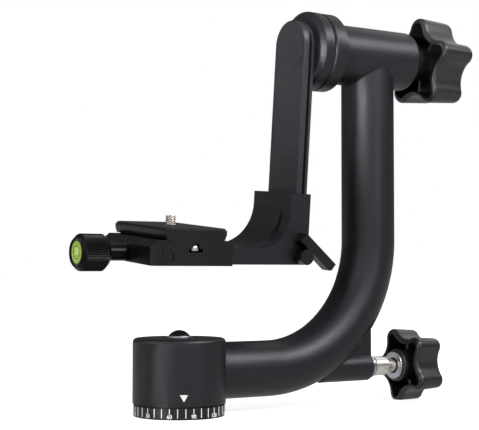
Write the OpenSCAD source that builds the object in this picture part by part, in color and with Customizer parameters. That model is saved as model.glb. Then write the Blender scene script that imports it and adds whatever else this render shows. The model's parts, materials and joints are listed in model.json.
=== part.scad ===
// Gimbal head for a tripod: a pan base with a degree dial, a J shaped arm, a swing arm that
// tilts about a horizontal barrel, and a quick release clamp that slides up and down the swing arm.
// Millimetres, +Z up. The origin is the mouth of the tripod socket, on the pan axis.
// +X points from the pan axis to the upright of the arm. The lens side faces -Y.

/* [Pan base] */
// Outer diameter of the degree dial
dial_d = 52; // [49:0.5:58]
// Height of the degree dial and of the base plate
dial_h = 7; // [6:0.5:9]
// Wall of the degree dial
dial_wall = 3; // [2:0.5:4]
// Drill diameter of the tripod thread, three eighths of an inch
socket_d = 7.94; // [5.1:0.01:8.5]
// Height of the boss that carries the tripod thread, from the mouth
socket_depth = 13; // [10:0.5:14]
// Diameter of the spindle where the brake grips it
spindle_d = 22; // [20:0.5:23]
// Diameter of the spindle in the upper bush
spindle_top_d = 18; // [16:0.5:19]
// Diameter of the spindle in the hub's roof
spindle_neck_d = 12; // [10:0.5:13]
// Diameter of the spindle's foot flange
spindle_foot_d = 36; // [34:0.5:38]
// Thickness of the spindle's foot flange
spindle_foot_h = 3; // [2.5:0.25:3.5]
// Thickness of the pan thrust washer
pan_washer_h = 2; // [1.5:0.25:2.25]
// Diameter of the dome bolt on the hub
dome_d = 12.5; // [10:0.5:14]
// Height of the dome bolt's head
dome_h = 3.4; // [2.5:0.1:4.5]
// Diameter of the bright washer under the dome bolt
dome_washer_d = 15.6; // [15:0.1:20]

/* [Hub] */
// Outer diameter of the hub
hub_d = 53; // [51:0.5:58]
// Height of the hub
hub_h = 36.7; // [35.5:0.1:42]
// Rounding of the hub's upper edge
hub_round = 2.5; // [1:0.25:4]
// Thickness of the hub's roof
hub_roof = 5; // [4:0.25:6]
// Wall of all the bearing bushes
bush_wall = 2; // [1.5:0.25:2.25]

/* [Arm] */
// Diameter of the arm's tube
tube_d = 33; // [30:0.5:34]
// Height of the lower tube's axis over the hub's lower face
tube_rise = 17; // [17:0.25:19]
// Distance of the upright's axis from the pan axis
reach = 137; // [126:1:150]
// Radius of the bend, at the tube's axis
bend_r = 77; // [66:1:84]
// Diameter of the tube's spigots in the hub and the barrel
spigot_d = 22; // [20:0.5:24]
// Diameter of the heel boss
boss_d = 17; // [15:0.5:20]
// Length by which the heel boss ends short of the upright's axis
boss_short = 1; // [0:0.5:6]
// Thickness of the heel web
web_t = 8; // [5:0.5:12]

/* [Pan lock] */
// Diameter of the lock's rod and shaft
lock_d = 10.5; // [9:0.25:11]
// Height by which the lock's axis lies under the tube's axis
lock_drop = 2; // [1:0.25:2.5]
// Length of the lock shaft inside the heel boss
lock_engage = 24; // [16:1:30]
// Distance from the heel boss to the pan knob's rim
pan_knob_gap = 26; // [20:0.5:32]
// Outer radius of the pan knob
pan_knob_r = 23.5; // [22:0.5:26]
// Length of the pan knob
pan_knob_l = 18.5; // [16:0.5:24]
// Diameter of the bright washer at the pan knob
pan_knob_washer_d = 17; // [14:0.5:20]

/* [Tilt pivot] */
// Height of the tilt axis
tilt_z = 216; // [205:1:235]
// Distance of the pivot's joint face from the pan axis
pivot_x = 94.7; // [90:0.1:100]
// Diameter of the barrel
barrel_d = 37; // [36:0.5:40]
// Length of the barrel past the upright's axis
barrel_out = 29; // [26:0.5:36]
// Diameter of the barrel's flange
flange_d = 47.6; // [43:0.2:50]
// Length of the barrel's flange
flange_l = 9.3; // [6:0.1:10]
// Diameter of the pivot collar
collar_d = 48; // [42:0.5:50]
// Length of the pivot collar
collar_l = 9.8; // [8:0.1:14]
// Bevel of the collar's end at the swing plate
collar_bevel = 2.6; // [0.5:0.1:4]
// Chamfer at the joint of collar and flange
joint_chamfer = 1.2; // [0.5:0.1:2]
// Diameter of the tilt axle
axle_d = 16; // [14:0.5:17]
// Diameter of the axle's threaded end
axle_thread_d = 10; // [8:0.5:11]
// Distance from the barrel's end to the tilt knob's rim
tilt_knob_gap = 11; // [8:0.5:14]
// Outer radius of the tilt knob
tilt_knob_r = 29; // [27:0.5:32]
// Length of the tilt knob
tilt_knob_l = 24.5; // [22:0.5:30]

/* [Swing plate] */
// Tilt of the swing arm, with the lens side down
swing_tilt = 5.5; // [0:0.5:20]
// Width of the swing plate
swing_w = 30; // [28:0.5:36]
// Thickness of the swing plate
swing_t = 7.7; // [7:0.1:9]
// Height of the plate's round end over the tilt axis
swing_top = 17.5; // [16:0.5:22]
// Distance of the plate's lower end under the tilt axis
swing_drop = 127.5; // [118:0.5:140]
// Width of the guide groove in each edge
groove_w = 2; // [1.5:0.1:2.5]
// Depth of the guide groove in each edge
groove_depth = 2.5; // [1.5:0.1:3]
// Diameter of the pivot cap
cap_d = 24; // [18:0.5:25]
// Thickness of the pivot cap
cap_t = 1.8; // [1:0.1:2]

/* [Platform] */
// Distance of the platform's underside under the tilt axis
platform_drop = 129.2; // [118:0.1:140]
// Height of the bracket's beam
beam_h = 9.7; // [8:0.1:14]
// Width of the bracket
bracket_w = 40; // [39:0.5:48]
// Height of the bracket's upright
upright_h = 42.4; // [36:0.2:60]
// Thickness of the bracket's upright
upright_t = 6.8; // [5:0.1:10]
// Radius between the beam and the upright
bracket_fillet = 25.5; // [12:0.5:28]
// Radius between the beam and the upright along the front rim
rim_fillet = 20; // [6:0.5:24]
// Width of the front rim
rim_w = 10; // [6:0.5:16]
// Diameter of the lever's boss
lever_boss_d = 9.4; // [8:0.2:12]
// Length of the lever's bar
lever_l = 29; // [24:0.5:40]
// Height of the lever's bar
lever_h = 6; // [4:0.25:8]
// Thickness of the lever, along its axis
lever_t = 7; // [5:0.25:10]
// Angle of the lever under the level line
lever_angle = 39; // [0:1:80]

/* [Clamp] */
// Length of the clamp
clamp_l = 60; // [50:1:80]
// Height of the clamp's floor over its underside
clamp_floor_h = 9.5; // [9:0.1:13]
// Height of the jaws' lips over the floor
lip_h = 4.6; // [4.2:0.1:4.8]
// Thickness of the fixed jaw
fixed_jaw_t = 5.5; // [4.5:0.1:8]
// Thickness of the moving jaw
moving_jaw_t = 9; // [7.5:0.1:12]
// Length of the moving jaw's guide tongues
tongue_l = 6.6; // [6:0.1:8]
// Height of the moving jaw's guide tongues
tongue_h = 4.2; // [3:0.1:5]
// Diameter of the clamp screw
clamp_screw_d = 5; // [4:0.25:5.5]
// Diameter of the clamp knob
clamp_knob_d = 21; // [18:0.5:26]
// Length of the clamp knob
clamp_knob_l = 18.5; // [15:0.5:24]
// Diameter of the clamp knob's neck
clamp_neck_d = 9; // [8:0.2:9]
// Length of the clamp knob's neck
clamp_neck_l = 13; // [8:0.5:18]
// Diameter of the bubble level
level_d = 15; // [11:0.2:15.4]
// Height of the bubble level
level_h = 6; // [4:0.25:8]

/* [Quick release plate] */
// Width of the plate's dovetail
qr_w = 38; // [36:0.1:42]
// Length of the plate
qr_l = 60; // [50:1:80]
// Height of the plate with its pad
qr_h = 11.5; // [9:0.1:13]
// Width of the plate's top
qr_top_w = 40; // [36:0.1:44]
// Depth of the dovetail's flanks
dovetail = 2.4; // [1.8:0.1:2.6]
// Thickness of the rubber pad
pad_t = 1; // [0.8:0.1:1.6]
// Diameter of the camera screw, a quarter of an inch
camera_screw_d = 6.35; // [5.5:0.05:7]
// Length of the camera screw over the pad
camera_screw_l = 5.5; // [4:0.25:7]

/* [Hidden] */
$fn = 64;

// Colours
black_coat = "#1d1d1f";
black_plastic = "#161617";
bright = "#c8cbd0";
steel = "#8d9095";
bronze = "#b08d57";
rubber = "#2a2a2a";
level_green = "#8fd23a";

// Clearances
seat = 0.02;      // between pieces that are fixed to each other
run = 0.05;       // radial, between a shaft and its bore
face_gap = 0.05;  // between flat faces that turn on each other
seam = 0.3;       // open seam between the dial and the hub
guide = 0.15;     // between the bracket and the swing plate
over = 1;         // how far a cut runs past the solid it cuts
socket_part = 0.6;  // width of a screw's hexagon socket over its diameter
socket_deep = 0.5;  // depth of a screw's hexagon socket over its diameter

// Pan base
base_d = dial_d - 2 * dial_wall - 2 * seat;
foot_z1 = dial_h + spindle_foot_h;
hub_z0 = dial_h + seam;
hub_z1 = hub_z0 + hub_h;
roof_z = hub_z1 - hub_roof;
tube_z = hub_z0 + tube_rise;
lock_z = tube_z - lock_drop;
socket_boss_wall = 4;
socket_boss_d = socket_d + 2 * socket_boss_wall;
brake_clear = 1.5;
spindle_step_z = lock_z + lock_d / 2 + brake_clear;
spindle_shoulder_z = roof_z - seam;
lower_bush_z0 = foot_z1 + seam;
lower_bush_z1 = lock_z - lock_d / 2 - brake_clear;
upper_bush_z0 = spindle_step_z + seam;
bore_relief = 1;
hub_bore_d = spindle_d + 2 * bore_relief;
dome_washer_t = 0.9;
dome_thread_d = 6;
dome_thread_l = 12;
base_screw_d = 3;
base_screw_head_d = 5.6;
base_screw_bite = 2;
base_screw_l = dial_h + base_screw_bite;
base_screw_r = (socket_boss_d + spindle_foot_d) / 4;
washer_margin = 1;
pan_washer_w = 3.98;
pan_washer_d = spindle_foot_d + washer_margin + 2 * pan_washer_w;

// Arm
tube_r = tube_d / 2;
bend_x = reach - bend_r;
bend_z = tube_z + bend_r;
hub_pocket_wall = 3;
hub_pocket_x = hub_bore_d / 2 + hub_pocket_wall;
boss_x1 = reach - boss_short;
boss_round = 2;
barrel_r = barrel_d / 2;
barrel_x1 = reach + barrel_out;
barrel_l = barrel_x1 - pivot_x;
barrel_bore_d = axle_d + 2 * bore_relief;
barrel_fillet = 2;
barrel_round = 2.5;
spigot_roof = 2.5;
spigot_top_z = tilt_z - barrel_bore_d / 2 - spigot_roof;
grub_d = 5;
grub_l = 4;
grub_clear = 0.25;
hub_grub_x = spindle_foot_d / 2 + grub_clear + grub_d / 2;
barrel_grub_z = tilt_z - (barrel_r + barrel_bore_d / 2) / 2 - 1;
tilt_bush_l = 10;

// Pan lock
brake_shoe_l = 9;
brake_x1 = hub_pocket_x + brake_shoe_l;
rod_x1 = boss_x1 - lock_engage;
gland_l = 2.5;
gland_wall = 1;
gland_d = lock_d + 2 * gland_wall;
pan_knob_x0 = boss_x1 + pan_knob_gap;
pan_knob_core_out = 3.5;
pan_washer_x1 = pan_knob_x0 - pan_knob_core_out;
pan_knob_washer_t = 1.5;
pan_washer_x0 = pan_washer_x1 - pan_knob_washer_t;
shaft_step = 2.5;
shaft_tail_d = lock_d - shaft_step;
shaft_tail_l = pan_knob_l * 0.6;

// Star knobs
knob_lobes = 5;
lobe_bite = 0.15;
pan_lobe_r = 5.9;
pan_valley_r = 11.4;
pan_knob_round = 3.2;
pan_knob_turn = 12.5;
tilt_lobe_r = 7.4;
tilt_valley_r = 13;
tilt_knob_round = 4.6;
tilt_knob_turn = 42;
knob_draft = 3.5;
knob_wall = 3;
knob_face_t = 5;
knob_rib_t = 2.4;
knob_rib_back = 3;
knob_back_round = 1.5;
knob_dish = 0.8;
knob_dish_part = 0.45;

// Tilt pivot
plate_x1 = pivot_x - face_gap - collar_l;
plate_x0 = plate_x1 - swing_t;
thrust_washer_t = 2;
thrust_land = 3;
thrust_washer_d = barrel_d - 2 * barrel_round - thrust_land;
thrust_x0 = barrel_x1 + face_gap;
thrust_x1 = thrust_x0 + thrust_washer_t;
tilt_knob_x0 = barrel_x1 + tilt_knob_gap;
tilt_core_out = tilt_knob_x0 - thrust_x1 - face_gap;
insert_wall = 3;
insert_d = axle_thread_d + 2 * insert_wall;
tilt_core_wall = 3;
insert_x1 = tilt_knob_x0 + tilt_knob_l - knob_face_t;
axle_step_x = barrel_x1 - 0.5;
axle_x1 = insert_x1 - 2;
pivot_bolt_d = 8;
pivot_bolt_head_d = 13;
pivot_bolt_head_h = 3.2;
pivot_bolt_l = 16;
cap_proud = 0.5;
bolt_head_x0 = plate_x0 + cap_t - cap_proud + 0.2;
dowel_d = 4;
dowel_l = 10;
dowel_in_plate = 3.4;
dowel_land = 2;
dowel_r = (pivot_bolt_head_d + dowel_d) / 2 + dowel_land;

// Swing plate
swing_z0 = tilt_z - swing_drop;
swing_round_z = tilt_z + swing_top - swing_w / 2;
groove_x0 = plate_x0 + swing_t / 2;
groove_y = swing_w / 2 - groove_depth;
stop_l = 2;

// Platform
platform_z0 = tilt_z - platform_drop;
upright_x1 = plate_x0 - guide;
upright_x0 = upright_x1 - upright_t;
cheek_inset = 0.5;
cheek_x1 = plate_x1 - cheek_inset;
cheek_y = swing_w / 2 + guide;
guide_y = groove_y + guide;
upright_z1 = platform_z0 + upright_h;
stop_play = 0.3;
bracket_tongue_z0 = max(platform_z0, swing_z0) + stop_l + stop_play;
lever_x = plate_x0 + swing_t / 4;
lever_rise = 5.2;
lever_gap = 0.2;
lever_z = platform_z0 + lever_rise;
lever_y = bracket_w / 2 + lever_gap;
lever_back = 9.7;
lever_tip_cut = 1.4;
stud_d = 6;
shoe_d = 5;
shoe_l = 2;

// Clamp and quick release plate
plate_half = qr_w / 2;
dovetail_gap = 0.17;
foot_h = 1;
neck_h = 1.4;
top_half = qr_top_w / 2;
top_undercut = 1.1;
top_edge_h = 2.5;
top_rise = 0.2;
slide_gap = 0.1;
floor_z = platform_z0 + clamp_floor_h;
qr_z0 = floor_z + slide_gap;
qr_z1 = qr_z0 + qr_h;
neck_z1 = qr_z0 + foot_h + dovetail + neck_h;
lip_z = floor_z + lip_h;
jaw_face = plate_half + dovetail_gap;
fixed_jaw_x1 = jaw_face + fixed_jaw_t;
jaw_overhang = 2.1;
jaw_seat_x = -jaw_face - jaw_overhang;
slab_x0 = jaw_seat_x + seam;
jaw_x0 = -jaw_face - moving_jaw_t;
jaw_edge_round = 3;
jaw_back_cut = 1;
jaw_lip_t = 4.6;
jaw_slope_z = floor_z + 0.8;
fixed_jaw_round = 2.5;
screw_z = platform_z0 + clamp_floor_h / 2;
tongue_z = screw_z - tongue_h / 2;
screw_in_slab = 26;
screw_x1 = slab_x0 + screw_in_slab;
screw_in_knob = 8;
tongue_inner_y = 8;
clip_d = clamp_screw_d + 2.4;
clip_t = 1;
clip_pocket = 1.6;
knob_x1 = jaw_x0 - face_gap - clamp_neck_l;
knob_x0 = knob_x1 - clamp_knob_l;
clamp_knob_round = 2.4;
joint_tongue_l = 13.5;
joint_tongue_h = clamp_floor_h / 2;
joint_tongue_w = 28;
bolt_d = 4;
bolt_head_d = 7.4;
bolt_x = fixed_jaw_x1 - joint_tongue_l / 2;
bolt_inset = 6;
bolt_roof = 1.6;
bolt_y = joint_tongue_w / 2 - bolt_inset;
bolt_l = clamp_floor_h - bolt_roof;
notch_w = 9;
notch_depth = 2;
notch_l = 20;
notch_y = clamp_l / 2 - notch_l;
stop_head_d = 6;
stop_head_h = 3.7;
stop_head_round = 2.4;
stop_sunk = 2.6;
stop_recess_d = 7.4;
stop_shank_d = 3;
stop_shank_l = 4;
stop_y = qr_l / 2 - stop_head_d / 2 - face_gap;
camera_head_d = camera_screw_d * 2;
camera_neck_d = camera_screw_d - 1.35;
camera_head_h = 3.2;
camera_recess = 4.4;
pad_inset = 0.6;

// Turns the +Z axis of its children to +X and moves them along X
module along_x(x) {
    translate([x, 0, 0])
    rotate([0, 90, 0])
    children();
}

// Turns the +Z axis of its children to -Y and moves them to the front face at y
module along_front(y) {
    translate([0, -y, 0])
    rotate([90, 0, 0])
    children();
}

// Tilts the swing arm's pieces about the tilt axis
module on_swing() {
    translate([0, 0, tilt_z])
    rotate([swing_tilt, 0, 0])
    translate([0, 0, -tilt_z])
    children();
}

module tube_ring(outer_d, inner_d, h) {
    difference() {
        cylinder(d = outer_d, h = h);
        translate([0, 0, -over])
        cylinder(d = inner_d, h = h + 2 * over);
    }
}

// Disc with a rounded upper edge and, if asked for, a rounded lower edge
module round_disc(r, h, top_round, low_round = 0) {
    rotate_extrude()
    intersection() {
        square([r, h]);
        union() {
            translate([0, low_round])
            square([r, h - top_round - low_round]);
            square([r - top_round, h]);
            translate([r - top_round, h - top_round])
            circle(top_round);
            if (low_round > 0) {
                square([r - low_round, h / 2]);
                translate([r - low_round, low_round])
                circle(low_round);
            }
        }
    }
}

// Outline drawn in X and Z, drawn out along Y about the middle
module profile_along_y(l) {
    translate([0, l / 2, 0])
    rotate([90, 0, 0])
    linear_extrude(l)
    children();
}

// Outline of a star knob: round lobes with round valleys between them
module star_outline(r, lobe_r, valley_r) {
    half = 180 / knob_lobes;
    lobe_at = r - lobe_r;
    centres = lobe_r + valley_r - lobe_bite;
    valley_at = lobe_at * cos(half) + sqrt(pow(centres, 2) - pow(lobe_at * sin(half), 2));
    share = lobe_r / (lobe_r + valley_r);
    joint_x = lobe_at + share * (valley_at * cos(half) - lobe_at);
    joint_y = share * valley_at * sin(half);
    difference() {
        union() {
            circle(norm([joint_x, joint_y]));
            for (i = [0 : knob_lobes - 1])
                rotate(i * 2 * half)
                translate([lobe_at, 0])
                circle(lobe_r);
        }
        for (i = [0 : knob_lobes - 1])
            rotate((2 * i + 1) * half)
            translate([valley_at, 0])
            circle(valley_r);
    }
}

// Half section of a knob's outside: drafted side, both edges rounded
module knob_half(r, l, front_round) {
    lean = [cos(knob_draft), sin(knob_draft)];
    rise = l - front_round - knob_back_round + (front_round - knob_back_round) * lean[1];
    back_x = r - knob_back_round;
    front_x = back_x + (knob_back_round - front_round) * lean[0] - rise * tan(knob_draft);
    polygon([
        [0, 0],
        [back_x, 0],
        [back_x, knob_back_round] + knob_back_round * lean,
        [front_x, l - front_round] + front_round * lean,
        [front_x, l],
        [0, l]
    ]);
    translate([back_x, knob_back_round])
    circle(knob_back_round);
    translate([front_x, l - front_round])
    circle(front_round);
}

// Star knob, hollow at the back, with a core boss and ribs. Its back rim lies at z = 0.
module star_knob(r, l, lobe_r, valley_r, front_round, core_d, core_out, bore_d, bore_end) {
    half = 180 / knob_lobes;
    difference() {
        union() {
            difference() {
                intersection() {
                    linear_extrude(l)
                    star_outline(r, lobe_r, valley_r);
                    rotate_extrude()
                    knob_half(r, l, front_round);
                }
                translate([0, 0, -over])
                linear_extrude(l - knob_face_t + over)
                star_outline(r - knob_wall, lobe_r - knob_wall, valley_r + knob_wall);
            }
            translate([0, 0, -core_out])
            cylinder(d = core_d, h = l - knob_face_t / 2 + core_out);
            for (i = [0 : knob_lobes - 1])
                rotate((2 * i + 1) * half)
                translate([core_d / 2 - 1, -knob_rib_t / 2, knob_rib_back])
                cube([r - 3 * knob_wall - core_d / 2, knob_rib_t, l - knob_face_t / 2 - knob_rib_back]);
        }
        translate([0, 0, l - knob_dish])
        cylinder(r = r * knob_dish_part, h = knob_dish + over);
        translate([0, 0, -core_out - over])
        cylinder(d = bore_d, h = bore_end + core_out + over);
    }
}

// Countersunk screw, head at z = 0, shank upwards
module countersunk(d, head_d, l) {
    cylinder(d1 = head_d, d2 = d, h = (head_d - d) / 2);
    cylinder(d = d, h = l);
}

// Screw with a countersunk head and a hexagon socket
module socket_screw(d, head_d, l) {
    difference() {
        countersunk(d, head_d, l);
        translate([0, 0, -over])
        cylinder(d = d * socket_part, h = d * socket_deep + over, $fn = 6);
    }
}

module base_screw_places() {
    for (i = [0 : 2])
        rotate(60 + 120 * i)
        translate([base_screw_r, 0, 0])
        children();
}

module base_plate() {
    color(black_coat)
    difference() {
        union() {
            cylinder(d = base_d, h = dial_h);
            cylinder(d = socket_boss_d, h = socket_depth);
        }
        translate([0, 0, -over])
        cylinder(d = socket_d, h = socket_depth + 2 * over);
        base_screw_places()
        countersunk(base_screw_d + 2 * seat, base_screw_head_d + 2 * seat, dial_h + over);
    }
}

module scale_ring() {
    color(black_coat)
    difference() {
        translate([0, 0, dial_h])
        mirror([0, 0, 1])
        round_disc(dial_d / 2, dial_h, 0.8);
        translate([0, 0, -over])
        cylinder(d = dial_d - 2 * dial_wall, h = dial_h + 2 * over);
    }
}

module base_screws() {
    color(steel)
    base_screw_places()
    socket_screw(base_screw_d, base_screw_head_d, base_screw_l);
}

module pan_spindle() {
    color(steel)
    difference() {
        union() {
            translate([0, 0, dial_h])
            cylinder(d = spindle_foot_d, h = spindle_foot_h);
            translate([0, 0, dial_h])
            cylinder(d = spindle_d, h = spindle_step_z - dial_h);
            translate([0, 0, dial_h])
            cylinder(d = spindle_top_d, h = spindle_shoulder_z - dial_h);
            translate([0, 0, dial_h])
            cylinder(d = spindle_neck_d, h = hub_z1 + face_gap - dial_h);
        }
        translate([0, 0, dial_h - over])
        cylinder(d = socket_boss_d + 2 * seat, h = socket_depth - dial_h + over + seat);
        translate([0, 0, hub_z1 - dome_thread_l])
        cylinder(d = dome_thread_d + 2 * seat, h = dome_thread_l + over);
        base_screw_places()
        translate([0, 0, dial_h - over])
        cylinder(d = base_screw_d + 2 * seat, h = base_screw_l - dial_h + over + seat);
    }
}

module pan_thrust_washer() {
    color(bronze)
    translate([0, 0, dial_h])
    tube_ring(pan_washer_d, spindle_foot_d + washer_margin, pan_washer_h);
}

module spindle_washer() {
    color(bright)
    translate([0, 0, hub_z1 + face_gap])
    tube_ring(dome_washer_d, dome_thread_d + 2 * seat, dome_washer_t);
}

module spindle_bolt() {
    dome_r = (pow(dome_d / 2, 2) + pow(dome_h, 2)) / (2 * dome_h);
    head_z = hub_z1 + face_gap + dome_washer_t;
    color(black_coat) {
        intersection() {
            translate([0, 0, head_z + dome_h - dome_r])
            sphere(r = dome_r);
            translate([0, 0, head_z])
            cylinder(d = dome_d, h = dome_h + over);
        }
        translate([0, 0, hub_z1 - dome_thread_l + seam])
        cylinder(d = dome_thread_d, h = dome_thread_l - seam + face_gap + dome_washer_t + dome_h / 2);
    }
}

module hub_housing() {
    color(black_coat)
    difference() {
        translate([0, 0, hub_z0])
        round_disc(hub_d / 2, hub_h, hub_round);
        translate([0, 0, hub_z0 - over])
        cylinder(d = pan_washer_d + washer_margin, h = dial_h + pan_washer_h + face_gap - hub_z0 + over);
        translate([0, 0, hub_z0 - over])
        cylinder(d = spindle_foot_d + washer_margin, h = foot_z1 + seam - hub_z0 + over);
        translate([0, 0, lower_bush_z0 - over])
        cylinder(d = spindle_d + 2 * bush_wall + 2 * seat, h = lower_bush_z1 - lower_bush_z0 + over);
        translate([0, 0, lower_bush_z1 - over])
        cylinder(d = hub_bore_d, h = upper_bush_z0 - lower_bush_z1 + over);
        translate([0, 0, upper_bush_z0 - over])
        cylinder(d = spindle_top_d + 2 * bush_wall + 2 * seat, h = roof_z - upper_bush_z0 + over);
        translate([0, 0, roof_z - over])
        cylinder(d = spindle_neck_d + 2 * seam, h = hub_roof + 2 * over);
        translate([0, 0, tube_z])
        along_x(hub_pocket_x)
        cylinder(d = spigot_d + 2 * seat, h = hub_d);
        translate([0, 0, lock_z])
        along_x(0)
        cylinder(d = lock_d + 2 * run, h = hub_d / 2);
        translate([hub_grub_x, 0, hub_z0 - over])
        cylinder(d = grub_d + 2 * seat, h = tube_z - hub_z0);
    }
}

module pan_bush_lower() {
    color(bronze)
    translate([0, 0, lower_bush_z0])
    tube_ring(spindle_d + 2 * bush_wall, spindle_d + 2 * run, lower_bush_z1 - lower_bush_z0);
}

module pan_bush_upper() {
    color(bronze)
    translate([0, 0, upper_bush_z0])
    tube_ring(spindle_top_d + 2 * bush_wall, spindle_top_d + 2 * run, roof_z - upper_bush_z0);
}

// Web between the heel boss and the back of the bend
module heel_web() {
    difference() {
        translate([bend_x, -web_t / 2, lock_z])
        cube([boss_x1 - bend_x, web_t, bend_z - lock_z]);
        translate([bend_x, 0, bend_z])
        rotate([90, 0, 0])
        cylinder(r = bend_r + tube_r / 2, h = web_t + 2 * over, center = true);
    }
}

module j_arm() {
    color(black_coat)
    difference() {
        union() {
            difference() {
                translate([0, 0, tube_z])
                along_x(0)
                cylinder(r = tube_r, h = bend_x);
                cylinder(d = hub_d + 2 * seat, h = hub_z1 + over);
            }
            translate([0, 0, tube_z])
            along_x(hub_pocket_x + seam)
            cylinder(d = spigot_d, h = hub_d / 2 - hub_pocket_x);
            translate([bend_x, 0, bend_z])
            rotate([90, 0, 0])
            rotate([0, 0, -90])
            rotate_extrude(angle = 90)
            translate([bend_r, 0])
            circle(r = tube_r);
            difference() {
                translate([reach, 0, bend_z])
                cylinder(r = tube_r, h = tilt_z - bend_z);
                translate([0, 0, tilt_z])
                along_x(pivot_x)
                cylinder(d = barrel_d + 2 * seat, h = barrel_l + over);
            }
            translate([reach, 0, bend_z])
            cylinder(d = spigot_d, h = spigot_top_z - seat - bend_z);
            translate([0, 0, lock_z])
            along_x(bend_x + bend_r / 2)
            round_disc(boss_d / 2, boss_x1 - bend_x - bend_r / 2, boss_round);
            heel_web();
        }
        translate([0, 0, lock_z])
        along_x(0)
        cylinder(d = lock_d + 2 * run, h = boss_x1 + over);
    }
}

// Headless screw with its point at the origin and a hexagon socket in its far end
module grub_screw() {
    socket_h = grub_d * socket_deep;
    difference() {
        cylinder(d = grub_d, h = grub_l);
        translate([0, 0, grub_l - socket_h])
        cylinder(d = grub_d * socket_part, h = socket_h + over, $fn = 6);
    }
}

module grub_screws() {
    color(steel) {
        translate([hub_grub_x, 0, tube_z - spigot_d / 2 - seat])
        mirror([0, 0, 1])
        grub_screw();
        translate([0, 0, barrel_grub_z])
        along_x(reach + spigot_d / 2 + seat)
        grub_screw();
    }
}

module tilt_barrel() {
    fillet_r = min(barrel_fillet, (flange_d - barrel_d) / 2);
    color(black_coat)
    difference() {
        translate([0, 0, tilt_z])
        along_x(pivot_x)
        union() {
            round_disc(barrel_r, barrel_l, barrel_round);
            cylinder(d1 = flange_d - 2 * joint_chamfer, d2 = flange_d, h = joint_chamfer);
            translate([0, 0, joint_chamfer])
            cylinder(d = flange_d, h = flange_l - joint_chamfer);
            rotate_extrude()
            difference() {
                translate([barrel_r - over, flange_l - over])
                square([fillet_r + over, fillet_r + over]);
                translate([barrel_r + fillet_r, flange_l + fillet_r])
                circle(fillet_r);
            }
        }
        translate([0, 0, tilt_z])
        along_x(pivot_x - over)
        cylinder(d = barrel_bore_d, h = barrel_l + 2 * over);
        translate([0, 0, tilt_z])
        along_x(pivot_x - over)
        cylinder(d = axle_d + 2 * bush_wall + 2 * seat, h = tilt_bush_l + over);
        translate([0, 0, tilt_z])
        along_x(barrel_x1 - tilt_bush_l)
        cylinder(d = axle_d + 2 * bush_wall + 2 * seat, h = tilt_bush_l + over);
        translate([reach, 0, tilt_z - barrel_d])
        cylinder(d = spigot_d + 2 * seat, h = spigot_top_z - tilt_z + barrel_d);
        translate([0, 0, barrel_grub_z])
        along_x(reach)
        cylinder(d = grub_d + 2 * seat, h = barrel_out + over);
    }
}

module tilt_bush(x) {
    color(bronze)
    translate([0, 0, tilt_z])
    along_x(x)
    tube_ring(axle_d + 2 * bush_wall, axle_d + 2 * run, tilt_bush_l - seat);
}

module tilt_bush_left() {
    tilt_bush(pivot_x);
}

module tilt_bush_right() {
    tilt_bush(barrel_x1 - tilt_bush_l + seat);
}

module pan_lock_gland() {
    color(bright)
    translate([0, 0, lock_z])
    along_x(boss_x1)
    tube_ring(gland_d, lock_d + 2 * run, gland_l);
}

module pan_brake_shoe() {
    color(bronze)
    difference() {
        translate([0, 0, lock_z])
        along_x(0)
        cylinder(d = lock_d, h = brake_x1);
        translate([0, 0, hub_z0])
        cylinder(d = spindle_d + 2 * run, h = hub_h);
        translate([-hub_d, -hub_d / 2, hub_z0])
        cube([hub_d, hub_d, hub_h]);
    }
}

module pan_lock_rod() {
    color(steel)
    translate([0, 0, lock_z])
    along_x(brake_x1 + seat)
    cylinder(d = lock_d, h = rod_x1 - brake_x1 - seat);
}

module pan_lock_shaft() {
    color(bright)
    translate([0, 0, lock_z]) {
        along_x(rod_x1 + face_gap)
        cylinder(d = lock_d, h = pan_washer_x0 - rod_x1 - face_gap);
        along_x(pan_washer_x0)
        cylinder(d = shaft_tail_d, h = pan_knob_x0 + shaft_tail_l - pan_washer_x0);
    }
}

module pan_knob_washer() {
    color(bright)
    translate([0, 0, lock_z])
    along_x(pan_washer_x0)
    tube_ring(pan_knob_washer_d, shaft_tail_d + 2 * seat, pan_washer_x1 - pan_washer_x0);
}

module pan_knob() {
    color(black_plastic)
    translate([0, 0, lock_z])
    along_x(pan_knob_x0)
    rotate([0, 0, pan_knob_turn])
    star_knob(pan_knob_r, pan_knob_l, pan_lobe_r, pan_valley_r, pan_knob_round, pan_knob_washer_d - 1,
        pan_knob_core_out, shaft_tail_d + 2 * seat, shaft_tail_l + seat);
}

module tilt_axle() {
    color(steel)
    translate([0, 0, tilt_z])
    difference() {
        union() {
            along_x(plate_x1 + seat)
            cylinder(d = axle_d, h = axle_step_x - plate_x1 - seat);
            along_x(axle_step_x)
            cylinder(d = axle_thread_d, h = axle_x1 - axle_step_x);
        }
        along_x(plate_x1 - over)
        cylinder(d = pivot_bolt_d + 2 * seat, h = pivot_bolt_l + over + seam);
    }
}

// Holes for the pins between plate and collar
module dowel_places() {
    for (side = [-1, 1])
        translate([0, 0, tilt_z + side * dowel_r])
        children();
}

module pivot_collar() {
    color(black_coat)
    on_swing()
    difference() {
        translate([0, 0, tilt_z])
        along_x(plate_x1 + seat) {
            cylinder(d1 = collar_d - 2 * collar_bevel, d2 = collar_d, h = collar_bevel);
            translate([0, 0, collar_bevel])
            cylinder(d = collar_d, h = collar_l - collar_bevel - joint_chamfer - seat);
            translate([0, 0, collar_l - joint_chamfer - seat])
            cylinder(d1 = collar_d, d2 = collar_d - 2 * joint_chamfer, h = joint_chamfer);
        }
        translate([0, 0, tilt_z])
        along_x(plate_x1 - over)
        cylinder(d = axle_d + 2 * seat, h = collar_l + 2 * over);
        dowel_places()
        along_x(plate_x1 - over)
        cylinder(d = dowel_d + 2 * seat, h = dowel_l - dowel_in_plate + over + seat);
    }
}

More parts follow.
